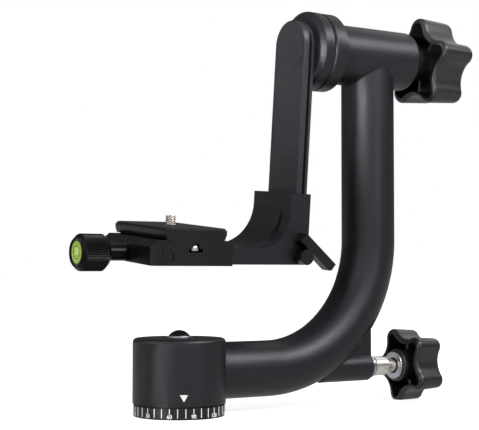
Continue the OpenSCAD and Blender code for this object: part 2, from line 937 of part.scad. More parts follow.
// Outline of the swing plate, drawn in Y and Z
module swing_outline() {
    translate([-swing_w / 2, swing_z0])
    square([swing_w, swing_round_z - swing_z0]);
    translate([0, swing_round_z])
    circle(d = swing_w);
}

module swing_plate() {
    color(black_coat)
    on_swing()
    difference() {
        translate([plate_x0, 0, 0])
        rotate([90, 0, 90])
        linear_extrude(swing_t)
        swing_outline();
        for (side = [-1, 1])
            translate([groove_x0, side > 0 ? groove_y : -groove_y - swing_w, swing_z0 - over])
            cube([groove_w, swing_w, swing_drop + swing_top + 2 * over]);
        translate([0, 0, tilt_z]) {
            along_x(plate_x0 - over)
            cylinder(d = cap_d + 2 * seat, h = cap_t - cap_proud + over);
            along_x(plate_x0)
            cylinder(d = pivot_bolt_head_d + 2 * seam, h = bolt_head_x0 + pivot_bolt_head_h - plate_x0);
            along_x(plate_x0)
            cylinder(d = pivot_bolt_d + 2 * seat, h = swing_t + over);
        }
        dowel_places()
        along_x(plate_x1 - dowel_in_plate - seat)
        cylinder(d = dowel_d + 2 * seat, h = dowel_in_plate + over);
    }
}

module pivot_bolt() {
    color(steel)
    on_swing()
    translate([0, 0, tilt_z]) {
        along_x(bolt_head_x0)
        cylinder(d = pivot_bolt_head_d, h = pivot_bolt_head_h);
        along_x(bolt_head_x0)
        cylinder(d = pivot_bolt_d, h = plate_x1 + pivot_bolt_l - bolt_head_x0);
    }
}

module pivot_cap() {
    color(black_coat)
    on_swing()
    translate([plate_x0 + cap_t - cap_proud, 0, tilt_z])
    rotate([0, -90, 0])
    round_disc(cap_d / 2, cap_t, 0.4);
}

module pivot_dowels() {
    color(steel)
    on_swing()
    dowel_places()
    along_x(plate_x1 - dowel_in_plate)
    cylinder(d = dowel_d, h = dowel_l);
}

module slide_stops() {
    color(bronze)
    on_swing()
    for (side = [-1, 1])
        translate([groove_x0 + seat, side > 0 ? groove_y + seat : -swing_w / 2, swing_z0])
        cube([groove_w - 2 * seat, groove_depth - seat, stop_l]);
}

module tilt_thrust_washer() {
    color(bright)
    translate([0, 0, tilt_z])
    along_x(thrust_x0)
    tube_ring(thrust_washer_d, axle_thread_d + 2 * run, thrust_washer_t);
}

module tilt_knob_insert() {
    color(bronze)
    translate([0, 0, tilt_z])
    along_x(thrust_x1 + face_gap)
    tube_ring(insert_d, axle_thread_d + 2 * run, insert_x1 - thrust_x1 - face_gap);
}

module tilt_knob() {
    color(black_plastic)
    translate([0, 0, tilt_z])
    along_x(tilt_knob_x0)
    rotate([0, 0, tilt_knob_turn])
    star_knob(tilt_knob_r, tilt_knob_l, tilt_lobe_r, tilt_valley_r, tilt_knob_round,
        insert_d + 2 * tilt_core_wall, tilt_core_out, insert_d + 2 * seat, insert_x1 - tilt_knob_x0 + seat);
}

// Side view of the bracket: the beam and the upright with the round between them
module bracket_outline(fillet) {
    beam_z1 = platform_z0 + beam_h;
    translate([fixed_jaw_x1 + seat, platform_z0])
    square([cheek_x1 - fixed_jaw_x1 - seat, beam_h]);
    translate([upright_x0, platform_z0])
    square([cheek_x1 - upright_x0, upright_h]);
    difference() {
        translate([upright_x0 - fillet, beam_z1 - over])
        square([fillet + over, fillet + over]);
        translate([upright_x0 - fillet, beam_z1 + fillet])
        circle(fillet);
    }
}

module platform_bracket() {
    color(black_coat)
    on_swing()
    difference() {
        union() {
            difference() {
                union() {
                    profile_along_y(bracket_w)
                    bracket_outline(rim_fillet);
                    translate([0, rim_w / 2, 0])
                    profile_along_y(bracket_w - rim_w)
                    bracket_outline(bracket_fillet);
                }
                translate([upright_x1, -cheek_y, platform_z0 - over])
                cube([swing_w, 2 * cheek_y, upright_h + 2 * over]);
            }
            for (side = [-1, 1])
                translate([groove_x0 + guide, side > 0 ? guide_y : -cheek_y - over, bracket_tongue_z0])
                cube([groove_w - 2 * guide, groove_depth + over, upright_z1 - bracket_tongue_z0]);
            translate([fixed_jaw_x1 - joint_tongue_l + seat, -joint_tongue_w / 2 + seat, platform_z0])
            cube([joint_tongue_l + over, joint_tongue_w - 2 * seat, joint_tongue_h - seat]);
        }
        translate([lever_x, 0, lever_z]) {
            along_front(cheek_y + shoe_l + seam)
            cylinder(d = stud_d + 2 * run, h = bracket_w);
            along_front(swing_w / 2 - over)
            cylinder(d = shoe_d + 2 * run, h = shoe_l + guide + seam + 2 * over);
        }
        bolt_places()
        countersunk(bolt_d + 2 * seat, bolt_head_d + 2 * seat, joint_tongue_h + over);
    }
}

module bolt_places() {
    for (side = [-1, 1])
        translate([bolt_x, side * bolt_y, platform_z0])
        children();
}

// Inner side of a jaw over the floor, drawn on the +X side: the foot, the flank and the lip
function jaw_inner() = [
    [jaw_face, qr_z0 + foot_h],
    [jaw_face - dovetail, qr_z0 + foot_h + dovetail],
    [jaw_face - dovetail, lip_z]
];

module fixed_jaw_outline() {
    slab = [[slab_x0, platform_z0], [slab_x0, floor_z], [jaw_face, floor_z]];
    back = [[fixed_jaw_x1, lip_z], [fixed_jaw_x1, platform_z0]];
    difference() {
        polygon(concat(slab, jaw_inner(), back));
        difference() {
            translate([fixed_jaw_x1 - fixed_jaw_round, lip_z - fixed_jaw_round])
            square([fixed_jaw_round + over, fixed_jaw_round + over]);
            translate([fixed_jaw_x1 - fixed_jaw_round, lip_z - fixed_jaw_round])
            circle(fixed_jaw_round);
        }
    }
}

module clamp_body() {
    color(black_coat)
    on_swing()
    difference() {
        profile_along_y(clamp_l)
        fixed_jaw_outline();
        translate([slab_x0 - over, -clamp_l / 2 - over, tongue_z - guide])
        cube([tongue_l + over + seam, clamp_l + 2 * over, tongue_h + 2 * guide]);
        translate([0, 0, screw_z])
        along_x(slab_x0 - over)
        cylinder(d = clamp_screw_d + 2 * run, h = screw_x1 - slab_x0 + over + seam);
        for (side = [-1, 1])
            translate([-notch_w / 2, side > 0 ? notch_y : -clamp_l / 2 - over, floor_z - notch_depth])
            cube([notch_w, notch_l + over, notch_depth + over]);
        translate([fixed_jaw_x1 - joint_tongue_l, -joint_tongue_w / 2, platform_z0 - over])
        cube([joint_tongue_l + over, joint_tongue_w, joint_tongue_h + over]);
        bolt_places()
        cylinder(d = bolt_d + 2 * seat, h = bolt_l + seat);
    }
}

module clamp_bolts() {
    color(steel)
    on_swing()
    bolt_places()
    socket_screw(bolt_d, bolt_head_d, bolt_l);
}

module moving_jaw_outline() {
    inner = [for (p = jaw_inner()) [-p[0], p[1]]];
    back = [[-jaw_face - jaw_lip_t, lip_z], [jaw_x0, jaw_slope_z], [jaw_x0, platform_z0]];
    seat_step = [[jaw_seat_x, platform_z0], [jaw_seat_x, qr_z0], [-jaw_face, qr_z0]];
    polygon(concat(seat_step, inner, back));
}

// Plan of the moving jaw: round front edge, cut off back corner
module moving_jaw_plan() {
    inner = -jaw_face + dovetail + over;
    half = clamp_l / 2;
    polygon([
        [inner, -half],
        [jaw_x0 + jaw_edge_round, -half],
        [jaw_x0, -half + jaw_edge_round],
        [jaw_x0, half - jaw_back_cut],
        [jaw_x0 + jaw_back_cut, half],
        [inner, half]
    ]);
    translate([jaw_x0 + jaw_edge_round, -half + jaw_edge_round])
    circle(jaw_edge_round);
}

module moving_jaw() {
    color(black_coat)
    on_swing()
    difference() {
        union() {
            intersection() {
                profile_along_y(clamp_l + over)
                moving_jaw_outline();
                translate([0, 0, platform_z0 - over])
                linear_extrude(clamp_floor_h + lip_h + 2 * over)
                moving_jaw_plan();
            }
            for (side = [-1, 1])
                translate([jaw_seat_x - over, side > 0 ? tongue_inner_y : -clamp_l / 2, tongue_z])
                cube([tongue_l + over, clamp_l / 2 - tongue_inner_y, tongue_h]);
        }
        translate([0, 0, screw_z]) {
            along_x(jaw_x0 - over)
            cylinder(d = clamp_screw_d + 2 * run, h = moving_jaw_t + 2 * over);
            along_x(jaw_seat_x - clip_pocket)
            cylinder(d = clip_d + 2 * seam, h = clip_pocket + over);
        }
    }
}

module clamp_knob() {
    color(black_coat)
    on_swing()
    translate([0, 0, screw_z])
    difference() {
        union() {
            along_x(knob_x0)
            round_disc(clamp_knob_d / 2, clamp_knob_l, clamp_knob_round, clamp_knob_round);
            along_x(knob_x1 - over)
            cylinder(d = clamp_neck_d, h = clamp_neck_l + over);
        }
        along_x(knob_x0 - over)
        cylinder(d = level_d + 2 * seat, h = level_h + over);
        along_x(knob_x1 - screw_in_knob)
        cylinder(d = clamp_screw_d + 2 * seat, h = screw_in_knob + clamp_neck_l + over);
    }
}

module clamp_screw() {
    color(steel)
    on_swing()
    translate([0, 0, screw_z])
    along_x(knob_x1 - screw_in_knob + seat)
    cylinder(d = clamp_screw_d, h = screw_x1 - knob_x1 + screw_in_knob - seat);
}

module clamp_clip() {
    color(steel)
    on_swing()
    translate([0, 0, screw_z])
    along_x(jaw_seat_x - clip_pocket + 2 * run)
    tube_ring(clip_d, clamp_screw_d + 2 * seat, clip_t);
}

module level_vial() {
    color(level_green)
    on_swing()
    translate([knob_x0 + level_h - seat, 0, screw_z])
    rotate([0, -90, 0])
    round_disc(level_d / 2, level_h - 0.5, 0.4);
}

// End view of the quick release plate: foot, flank, neck and the flared top
module plate_outline() {
    right = [
        [plate_half, qr_z0],
        [plate_half, qr_z0 + foot_h],
        [plate_half - dovetail, qr_z0 + foot_h + dovetail],
        [plate_half - dovetail, neck_z1],
        [top_half - top_undercut, neck_z1 + top_rise],
        [top_half, qr_z1 - pad_t - top_edge_h],
        [top_half, qr_z1 - pad_t]
    ];
    last = len(right) - 1;
    polygon(concat(right, [for (i = [0 : last]) [-right[last - i][0], right[last - i][1]]]));
}

module stop_places() {
    for (side = [-1, 1])
        translate([0, side * stop_y, qr_z0])
        children();
}

module quick_release_plate() {
    color(black_coat)
    on_swing()
    difference() {
        profile_along_y(qr_l)
        plate_outline();
        translate([0, 0, qr_z0 - over])
        cylinder(d = camera_head_d + 2 * seam, h = camera_recess + over);
        translate([0, 0, qr_z0])
        cylinder(d = camera_screw_d + 2 * guide, h = qr_h + over);
        stop_places() {
            translate([0, 0, -over])
            cylinder(d = stop_recess_d, h = stop_sunk + over);
            cylinder(d = stop_shank_d + 2 * seat, h = stop_sunk + stop_shank_l + seat);
        }
    }
}

module plate_pad() {
    color(rubber)
    on_swing()
    difference() {
        translate([-top_half + pad_inset, -qr_l / 2 + pad_inset, qr_z1 - pad_t])
        cube([qr_top_w - 2 * pad_inset, qr_l - 2 * pad_inset, pad_t]);
        translate([0, 0, qr_z0])
        cylinder(d = camera_screw_d + 2 * guide, h = qr_h + over);
    }
}

module stop_screws() {
    color(bright)
    on_swing()
    stop_places()
    translate([0, 0, stop_sunk - stop_head_h - seat]) {
        round_disc(stop_head_d / 2, stop_head_h, stop_head_round);
        cylinder(d = stop_shank_d, h = stop_head_h + stop_shank_l);
    }
}

// Captive screw: a head in the plate's recess, a thin neck in the plate and the thread over the pad
module camera_screw() {
    thread_z0 = qr_h - camera_recess + face_gap + camera_head_h;
    color(bright)
    on_swing()
    translate([0, 0, qr_z0 + camera_recess - face_gap - camera_head_h]) {
        cylinder(d = camera_head_d, h = camera_head_h);
        cylinder(d = camera_neck_d, h = thread_z0);
        translate([0, 0, thread_z0])
        cylinder(d = camera_screw_d, h = camera_screw_l);
    }
}

module lever_stud() {
    color(steel)
    on_swing()
    translate([lever_x, 0, lever_z])
    along_front(cheek_y + shoe_l + seam + face_gap)
    cylinder(d = stud_d, h = lever_y - cheek_y - shoe_l - seam - face_gap + lever_t / 2);
}

// Flat bar beside a round boss. The boss turns about its own axis at the origin.
module height_lever() {
    bar_y = lever_boss_d / 2 - 0.5;
    color(black_coat)
    on_swing()
    translate([lever_x, 0, lever_z])
    along_front(lever_y)
    difference() {
        union() {
            cylinder(d = lever_boss_d, h = lever_t);
            rotate(-lever_angle)
            translate([-lever_back, bar_y])
            linear_extrude(lever_t)
            polygon([
                [0, 0],
                [lever_l - lever_tip_cut, 0],
                [lever_l, lever_tip_cut],
                [lever_l, lever_h],
                [0, lever_h]
            ]);
        }
        translate([0, 0, -over])
        cylinder(d = stud_d + 2 * seat, h = lever_t / 2 + over);
    }
}

module lock_shoe() {
    color(bronze)
    on_swing()
    translate([lever_x, 0, lever_z])
    along_front(swing_w / 2 + face_gap)
    cylinder(d = shoe_d, h = shoe_l + guide + seam - face_gap);
}

base_plate();
scale_ring();
base_screws();
pan_spindle();
pan_thrust_washer();
spindle_washer();
spindle_bolt();
hub_housing();
pan_bush_lower();
pan_bush_upper();
j_arm();
grub_screws();
tilt_barrel();
tilt_bush_left();
tilt_bush_right();
pan_lock_gland();
pan_brake_shoe();
pan_lock_rod();
pan_lock_shaft();
pan_knob_washer();
pan_knob();
tilt_axle();
pivot_collar();
swing_plate();
pivot_bolt();
pivot_cap();
pivot_dowels();
slide_stops();
tilt_thrust_washer();
tilt_knob_insert();
tilt_knob();
platform_bracket();
clamp_body();
clamp_bolts();
lever_stud();
height_lever();
lock_shoe();
moving_jaw();
clamp_knob();
clamp_screw();
clamp_clip();
level_vial();
quick_release_plate();
plate_pad();
stop_screws();
camera_screw();
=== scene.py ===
"""Looks of the tripod gimbal head: finishes, dial, knobs, level, pan lock, threads and a plain studio."""
import json
import math

import bmesh
import bpy
from mathutils import Matrix, Vector


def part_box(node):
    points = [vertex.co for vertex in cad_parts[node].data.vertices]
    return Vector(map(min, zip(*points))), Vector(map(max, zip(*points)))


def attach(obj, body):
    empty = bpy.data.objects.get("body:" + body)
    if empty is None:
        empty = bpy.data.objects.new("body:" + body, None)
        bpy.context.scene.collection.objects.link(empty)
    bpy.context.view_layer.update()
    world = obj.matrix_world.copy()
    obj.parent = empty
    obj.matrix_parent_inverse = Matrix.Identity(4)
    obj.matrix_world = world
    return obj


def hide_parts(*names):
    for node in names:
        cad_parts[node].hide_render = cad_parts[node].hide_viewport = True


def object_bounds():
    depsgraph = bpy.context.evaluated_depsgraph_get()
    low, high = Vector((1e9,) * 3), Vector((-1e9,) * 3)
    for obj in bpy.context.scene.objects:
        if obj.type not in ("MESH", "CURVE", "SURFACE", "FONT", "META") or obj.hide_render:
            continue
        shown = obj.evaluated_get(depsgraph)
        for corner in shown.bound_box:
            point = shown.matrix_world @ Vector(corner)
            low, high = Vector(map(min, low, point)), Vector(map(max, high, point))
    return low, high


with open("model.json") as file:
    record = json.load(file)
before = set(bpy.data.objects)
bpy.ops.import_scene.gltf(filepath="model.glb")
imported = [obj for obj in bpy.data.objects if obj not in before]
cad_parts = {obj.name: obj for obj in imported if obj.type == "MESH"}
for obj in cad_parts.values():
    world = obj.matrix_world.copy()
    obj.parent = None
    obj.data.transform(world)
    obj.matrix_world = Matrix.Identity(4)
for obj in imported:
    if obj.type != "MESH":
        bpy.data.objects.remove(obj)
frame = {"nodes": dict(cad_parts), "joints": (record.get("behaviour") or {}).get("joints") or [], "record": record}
cad_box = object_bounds()

MM = 0.001
TURN = 2 * math.pi

# The photograph's frame and the place it was taken from
PHOTO_W = 479
PHOTO_H = 430
SENSOR_W = 36.0
FOCAL_PIXELS = 1299.6
VIEW_AZIMUTH = math.radians(-33.07)
VIEW_DISTANCE = 740.8 * MM
VIEW_SIDE = 34.2 * MM
EYE_HEIGHT = 81.4 * MM
HORIZON_ROW = 271.7

# Joints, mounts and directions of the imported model
joints = {joint["name"]: joint for joint in frame["joints"]}
mounts = {mount["name"]: mount for mount in frame["record"]["mounts"]}
ALONG_X = Vector((1, 0, 0))
UPRIGHT = Vector((0, 0, 1))
SWING_UP = Vector(joints["height_slide"]["axis"])
SWING_BACK = Vector(joints["plate_slide"]["axis"])

# Smooth shading and rounded edges
SMOOTH_ANGLE = math.radians(35)
BEVEL_ANGLE = math.radians(32)
BEVEL_SEGMENTS = 3
FLAT_ANGLE = math.radians(0.2)
WELD_GAP = 0.002 * MM


def smoothing_group():
    """A node group that shades smooth across every edge flatter than the smoothing angle."""
    group = bpy.data.node_groups.new("smooth_by_angle", "GeometryNodeTree")
    group.interface.new_socket("Geometry", in_out="INPUT", socket_type="NodeSocketGeometry")
    group.interface.new_socket("Geometry", in_out="OUTPUT", socket_type="NodeSocketGeometry")
    nodes = group.nodes
    start = nodes.new("NodeGroupInput")
    end = nodes.new("NodeGroupOutput")
    faces = nodes.new("GeometryNodeSetShadeSmooth")
    faces.domain = "FACE"
    edges = nodes.new("GeometryNodeSetShadeSmooth")
    edges.domain = "EDGE"
    edge_angle = nodes.new("GeometryNodeInputMeshEdgeAngle")
    flatter = nodes.new("FunctionNodeCompare")
    flatter.operation = "LESS_THAN"
    flatter.inputs["B"].default_value = SMOOTH_ANGLE
    group.links.new(start.outputs["Geometry"], faces.inputs["Geometry"])
    group.links.new(faces.outputs["Geometry"], edges.inputs["Geometry"])
    group.links.new(edge_angle.outputs["Unsigned Angle"], flatter.inputs["A"])
    group.links.new(flatter.outputs["Result"], edges.inputs["Shade Smooth"])
    group.links.new(edges.outputs["Geometry"], end.inputs["Geometry"])
    return group


SMOOTHING = smoothing_group()


def smooth(piece):
    """Smooth shading that keeps sharp edges, with flat faces shaded flat."""
    modifier = piece.modifiers.new("smooth", "NODES")
    modifier.node_group = SMOOTHING
    weighted = piece.modifiers.new("flat_faces", "WEIGHTED_NORMAL")
    weighted.keep_sharp = True


def soften(piece, width):
    """Rounds the sharp edges of a CAD node's mesh with modifiers."""
    weld = piece.modifiers.new("weld", "WELD")
    weld.merge_threshold = WELD_GAP
    planes = piece.modifiers.new("planes", "DECIMATE")
    planes.decimate_type = "DISSOLVE"
    planes.angle_limit = FLAT_ANGLE
    bevel = piece.modifiers.new("round_edges", "BEVEL")
    bevel.width = width
    bevel.segments = BEVEL_SEGMENTS
    bevel.limit_method = "ANGLE"
    bevel.angle_limit = BEVEL_ANGLE
    bevel.use_clamp_overlap = True
    smooth(piece)


# Building blocks of the finishes: which part of a noise's range shows, and how dark stain and grain are
COLOUR_RANGE = (0.35, 0.65)
NUMBER_RANGE = (0.3, 0.7)
STAIN_SHADE = 0.86
GRAIN_SHADE = 0.85


def new_material(name, color, roughness, metallic=0.0):
    """A material with one principled shader. Returns it with its shader node."""
    material = bpy.data.materials.new(name)
    material.use_nodes = True
    shader = material.node_tree.nodes["Principled BSDF"]
    shader.inputs["Base Color"].default_value = (*color, 1.0)
    shader.inputs["Roughness"].default_value = roughness
    shader.inputs["Metallic"].default_value = metallic
    return material, shader


def feed(material, value, shader, socket):
    """Links a value to one of the shader's sockets."""
    material.node_tree.links.new(value, shader.inputs[socket])


def noise(material, scale, detail=4.0, roughness=0.55):
    """A noise texture in the object's own coordinates, in cycles per metre."""
    nodes = material.node_tree.nodes
    place = nodes.new("ShaderNodeTexCoord")
    texture = nodes.new("ShaderNodeTexNoise")
    texture.inputs["Scale"].default_value = scale
    texture.inputs["Detail"].default_value = detail
    texture.inputs["Roughness"].default_value = roughness
    material.node_tree.links.new(place.outputs["Object"], texture.inputs["Vector"])
    return texture.outputs["Fac"]


def ramp(material, value, low, high):
    """Maps a texture's value from a low to a high colour."""
    node = material.node_tree.nodes.new("ShaderNodeValToRGB")
    for element, position, color in zip(node.color_ramp.elements, COLOUR_RANGE, (low, high)):
        element.position = position
        element.color = (*color, 1.0)
    material.node_tree.links.new(value, node.inputs["Fac"])
    return node.outputs["Color"]


def spread(material, value, low, high):
    """Maps a texture's value to a range of numbers."""
    node = material.node_tree.nodes.new("ShaderNodeMapRange")
    node.inputs["From Min"].default_value, node.inputs["From Max"].default_value = NUMBER_RANGE
    node.inputs["To Min"].default_value = low
    node.inputs["To Max"].default_value = high
    material.node_tree.links.new(value, node.inputs["Value"])
    return node.outputs["Result"]


def bump(material, shader, height, strength, distance):
    """Feeds a height into the shader's normal."""
    node = material.node_tree.nodes.new("ShaderNodeBump")
    node.inputs["Strength"].default_value = strength
    node.inputs["Distance"].default_value = distance
    material.node_tree.links.new(height, node.inputs["Height"])
    feed(material, node.outputs["Normal"], shader, "Normal")


def darker(color, share):
    """A share of a colour."""
    return tuple(share * c for c in color)


# Finishes
COAT_SHEEN = (0.97, 0.94, 1.0, 1.0)
RING_SCALE = 9000.0
STREAK_SCALE = 30.0
X_AXIS = 0
Z_AXIS = 2


def powder_coat(name, dark, light):
    """Black satin powder coat, with a fine orange peel and a shade that clouds from dark to light."""
    material, shader = new_material(name, dark, roughness=0.4)
    shader.inputs["Specular Tint"].default_value = COAT_SHEEN
    cloud = noise(material, scale=45, detail=2.0)
    feed(material, ramp(material, cloud, dark, light), shader, "Base Color")
    peel = noise(material, scale=1100, detail=3.0, roughness=0.65)
    feed(material, spread(material, peel, low=0.30, high=0.50), shader, "Roughness")
    bump(material, shader, peel, strength=1.0, distance=0.12 * MM)
    return material


def moulded_plastic():
    """Black moulded plastic with a fine spark grain."""
    material, shader = new_material("knob_plastic", (0.013, 0.013, 0.0135), roughness=0.35)
    shader.inputs["Specular IOR Level"].default_value = 0.62
    cloud = noise(material, scale=80, detail=3.0)
    colour = ramp(material, cloud, low=(0.0105, 0.0105, 0.011), high=(0.0155, 0.0155, 0.016))
    feed(material, colour, shader, "Base Color")
    grain = noise(material, scale=1500, detail=3.0)
    feed(material, spread(material, grain, low=0.26, high=0.44), shader, "Roughness")
    bump(material, shader, grain, strength=0.6, distance=0.05 * MM)
    return material


def turned_metal(name, color, roughness, axis):
    """Bare turned metal: fine rings across the given axis, with a little stain."""
    material, shader = new_material(name, color, roughness, metallic=1.0)
    tree = material.node_tree
    place = tree.nodes.new("ShaderNodeTexCoord")
    stretch = tree.nodes.new("ShaderNodeMapping")
    stretch.inputs["Scale"].default_value = [RING_SCALE if i == axis else STREAK_SCALE for i in range(3)]
    rings = tree.nodes.new("ShaderNodeTexNoise")
    rings.inputs["Scale"].default_value = 1.0
    rings.inputs["Detail"].default_value = 2.0
    tree.links.new(place.outputs["Object"], stretch.inputs["Vector"])
    tree.links.new(stretch.outputs["Vector"], rings.inputs["Vector"])
    rough = spread(material, rings.outputs["Fac"], low=roughness - 0.06, high=roughness + 0.08)
    feed(material, rough, shader, "Roughness")
    stain = noise(material, scale=220, detail=3.0)
    feed(material, ramp(material, stain, darker(color, STAIN_SHADE), color), shader, "Base Color")
    bump(material, shader, rings.outputs["Fac"], strength=0.12, distance=0.01 * MM)
    return material


def plain(name, color, roughness, variation, scale, metallic=0.0, specular=0.5):
    """A finish whose colour and roughness vary a little at the given scale."""
    material, shader = new_material(name, color, roughness, metallic)
    shader.inputs["Specular IOR Level"].default_value = specular
    grain = noise(material, scale)
    rough = spread(material, grain, low=roughness - variation, high=roughness + variation)
    feed(material, rough, shader, "Roughness")
    feed(material, ramp(material, grain, darker(color, GRAIN_SHADE), color), shader, "Base Color")
    return material


def bright(name, color, roughness, glow):
    """Fluorescent plastic and fresh paint, lit up by a painted glow in their own colour."""
    material = plain(name, color, roughness, variation=0.03, scale=300)
    shader = material.node_tree.nodes["Principled BSDF"]
    shader.inputs["Emission Color"].default_value = (*color, 1.0)
    shader.inputs["Emission Strength"].default_value = glow
    return material


def ribbed_rubber():
    """Matte black rubber with a fine open grain."""
    material, shader = new_material("pad_rubber", (0.016, 0.016, 0.016), roughness=0.78)
    grain = noise(material, scale=1200)
    colour = ramp(material, grain, low=(0.011, 0.011, 0.011), high=(0.021, 0.021, 0.020))
    feed(material, colour, shader, "Base Color")
    bump(material, shader, grain, strength=0.5, distance=0.06 * MM)
    return material


MATERIALS = {
    "black_coat": powder_coat("black_powder_coat", (0.0055, 0.0050, 0.0076), (0.0082, 0.0076, 0.0108)),
    # Swing plate and pivot cap: the same black powder coat painted lighter, as painted light where the lamps leave
    # their faces dark
    "plate_coat_painted_light": powder_coat("plate_powder_coat_painted_light", (0.0260, 0.0255, 0.0300), (0.0330, 0.0325, 0.0375)),
    "satin_black": plain("satin_anodised", (0.004, 0.004, 0.0042), roughness=0.32, variation=0.07,
                         scale=700, specular=0.42),
    "dial_coat": plain("dial_anodised", (0.005, 0.005, 0.0053), roughness=0.36, variation=0.05, scale=900),
    "knob_plastic": moulded_plastic(),
    "knurled_coat": plain("knurled_anodised", (0.003, 0.003, 0.0031), roughness=0.30, variation=0.06,
                          scale=900, specular=0.16),
    "chrome": turned_metal("bright_nickel", (0.90, 0.85, 0.78), roughness=0.3, axis=X_AXIS),
    "zinc": plain("zinc_plate", (0.66, 0.69, 0.73), roughness=0.30, variation=0.08, scale=500, metallic=1.0),
    "steel": turned_metal("turned_steel", (0.48, 0.49, 0.50), roughness=0.30, axis=Z_AXIS),
    "bronze": turned_metal("turned_bronze", (0.55, 0.38, 0.17), roughness=0.34, axis=X_AXIS),
    "pad_rubber": ribbed_rubber(),
    # The level's green and bubble and the white paint glow: painted light that makes them brighter than the lamps
    # light them
    "level_green": bright("level_green", (0.38, 0.58, 0.08), roughness=0.1, glow=0.3),
    "white_paint": bright("white_paint", (0.88, 0.88, 0.86), roughness=0.45, glow=0.38),
    "gloss_black": plain("gloss_black", (0.008, 0.008, 0.0085), roughness=0.2, variation=0.04, scale=400),
    "level_dark": plain("level_dark", (0.05, 0.075, 0.02), roughness=0.25, variation=0.05, scale=600),
    "level_bubble": bright("level_bubble", (0.56, 0.74, 0.24), roughness=0.1, glow=0.4),
}

# Finishes of CAD nodes that differ from their slot's, and the widths of their rounded edges
NODE_MATERIALS = {
    "spindle_bolt": "gloss_black",
    "stop_screws": "zinc",
    "spindle_washer": "zinc",
    # Swing plate and pivot cap take the powder coat with painted light
    "swing_plate": "plate_coat_painted_light",
    "pivot_cap": "plate_coat_painted_light",
    "clamp_body": "satin_black",
    "moving_jaw": "satin_black",
    "quick_release_plate": "satin_black",
    "height_lever": "satin_black",
}
EDGE_WIDTHS = {
    "swing_plate": 0.5 * MM,
    "clamp_body": 0.5 * MM,
    "moving_jaw": 0.6 * MM,
    "quick_release_plate": 0.4 * MM,
    "platform_bracket": 0.5 * MM,
    "height_lever": 0.5 * MM,
}
EDGE_WIDTH = 0.2 * MM

for part in frame["record"]["subparts"]:
    node = frame["nodes"][part["node"]]
    node.data.materials.clear()
    node.data.materials.append(MATERIALS[NODE_MATERIALS.get(part["node"], part["material_slot"])])
    soften(node, EDGE_WIDTHS.get(part["node"], EDGE_WIDTH))


# Building blocks of the pieces
TUBE_STEPS = 96
LATHE_STEPS = 64


def node_radius(node_name):
    """Radius of a node that is round about the pan axis or about an axis along X."""
    low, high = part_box(node_name)
    return (high.y - low.y) / 2


def axis_frame(origin, axis, side):
    """A matrix that puts local Z on the axis and local X on the side direction."""
    z = axis.normalized()
    x = (side - z * side.dot(z)).normalized()
    y = z.cross(x)
    turn = Matrix((x, y, z)).transposed().to_4x4()
    return Matrix.Translation(origin) @ turn


def add_piece(name, shape, finish, body, replaced=()):
    """Makes a piece of a bmesh, with its finish, on a body."""
    bmesh.ops.recalc_face_normals(shape, faces=shape.faces)
    mesh = bpy.data.meshes.new(name)
    shape.to_mesh(mesh)
    shape.free()
    piece = bpy.data.objects.new(name, mesh)
    bpy.context.scene.collection.objects.link(piece)
    mesh.materials.append(MATERIALS[finish])
    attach(piece, body)
    if replaced:
        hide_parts(*replaced)
    smooth(piece)


def grid_faces(shape, rows, closed):
    """Joins rows of points with quads. Closed rows are rings."""
    columns = len(rows[0])
    last = columns if closed else columns - 1
    for low, high in zip(rows, rows[1:]):
        for i in range(last):
            j = (i + 1) % columns
            shape.faces.new((low[i], low[j], high[j], high[i]))


def skin(shape, rows):
    """Joins rings of points with quads and caps both ends."""
    grid_faces(shape, rows, True)
    shape.faces.new(list(reversed(rows[0])))
    shape.faces.new(rows[-1])


def on_drum(radius, angle, height):
    """A point on a drum about the Z axis."""
    return Vector((radius * math.cos(angle), radius * math.sin(angle), height))


def lathe(shape, at, rings, steps=LATHE_STEPS, relief=None):
    """Turns (place, radius) rings about the local Z axis of a matrix, and caps both ends.

    The relief is a function of angle and place, and is added to the radius.
    """
    turns = [TURN * i / steps for i in range(steps)]
    rows = []
    for place, radius in rings:
        row = []
        for turn in turns:
            out = radius + relief(turn, place) if relief else radius
            row.append(shape.verts.new(at @ on_drum(out, turn, place)))
        rows.append(row)
    skin(shape, rows)


def add_tube(name, at, section, finish, body, replaced=(), steps=TUBE_STEPS):
    """A ring about the local Z axis of a matrix, with a closed section of (place, radius) points."""
    shape = bmesh.new()
    turns = [TURN * i / steps for i in range(steps)]
    rows = [[shape.verts.new(at @ on_drum(out, turn, place)) for turn in turns] for place, out in section]
    grid_faces(shape, rows + rows[:1], True)
    add_piece(name, shape, finish, body, replaced)


# Degree dial: a tick every ten degrees, and a short tick with a number every thirty
DIAL_R = node_radius("scale_ring")
DIAL_WALL = 3.0 * MM
DIAL_ROUND = 0.8 * MM
DIAL_ROUND_STEPS = 4
DIAL_EDGE = 0.15 * MM
DIAL_ZERO = math.radians(-192.3)
SEAM_H = 0.5 * MM
SEAM_DEPTH = 1.3 * MM
PAINT = 0.04 * MM
PATCH_STEPS = 3
TICK_DEGREES = 10
TICK_W = 0.5 * MM
TICK_Z = (1.1 * MM, 6.2 * MM)
SHORT_TICK_Z0 = 3.25 * MM
NUMBER_DEGREES = 30
NUMBER_Z0 = 0.95 * MM
NUMBER_H = 2.1 * MM
NUMBER_BOLD = 0.07 * MM
FONT_DIGIT_H = 0.7


def drum_patch(shape, radius, corners):
    """A thin painted patch on a drum. Its (angle, height) corners go round from the low left one."""
    (a0, z0), (a1, z1), (a2, z2), (a3, z3) = corners
    layers = []
    for lift in (-PAINT, PAINT):
        low, high = [], []
        for i in range(PATCH_STEPS + 1):
            f = i / PATCH_STEPS
            low.append(shape.verts.new(on_drum(radius + lift, a0 + (a1 - a0) * f, z0 + (z1 - z0) * f)))
            high.append(shape.verts.new(on_drum(radius + lift, a3 + (a2 - a3) * f, z3 + (z2 - z3) * f)))
        grid_faces(shape, [low, high], False)
        layers.append(low + list(reversed(high)))
    grid_faces(shape, layers, True)


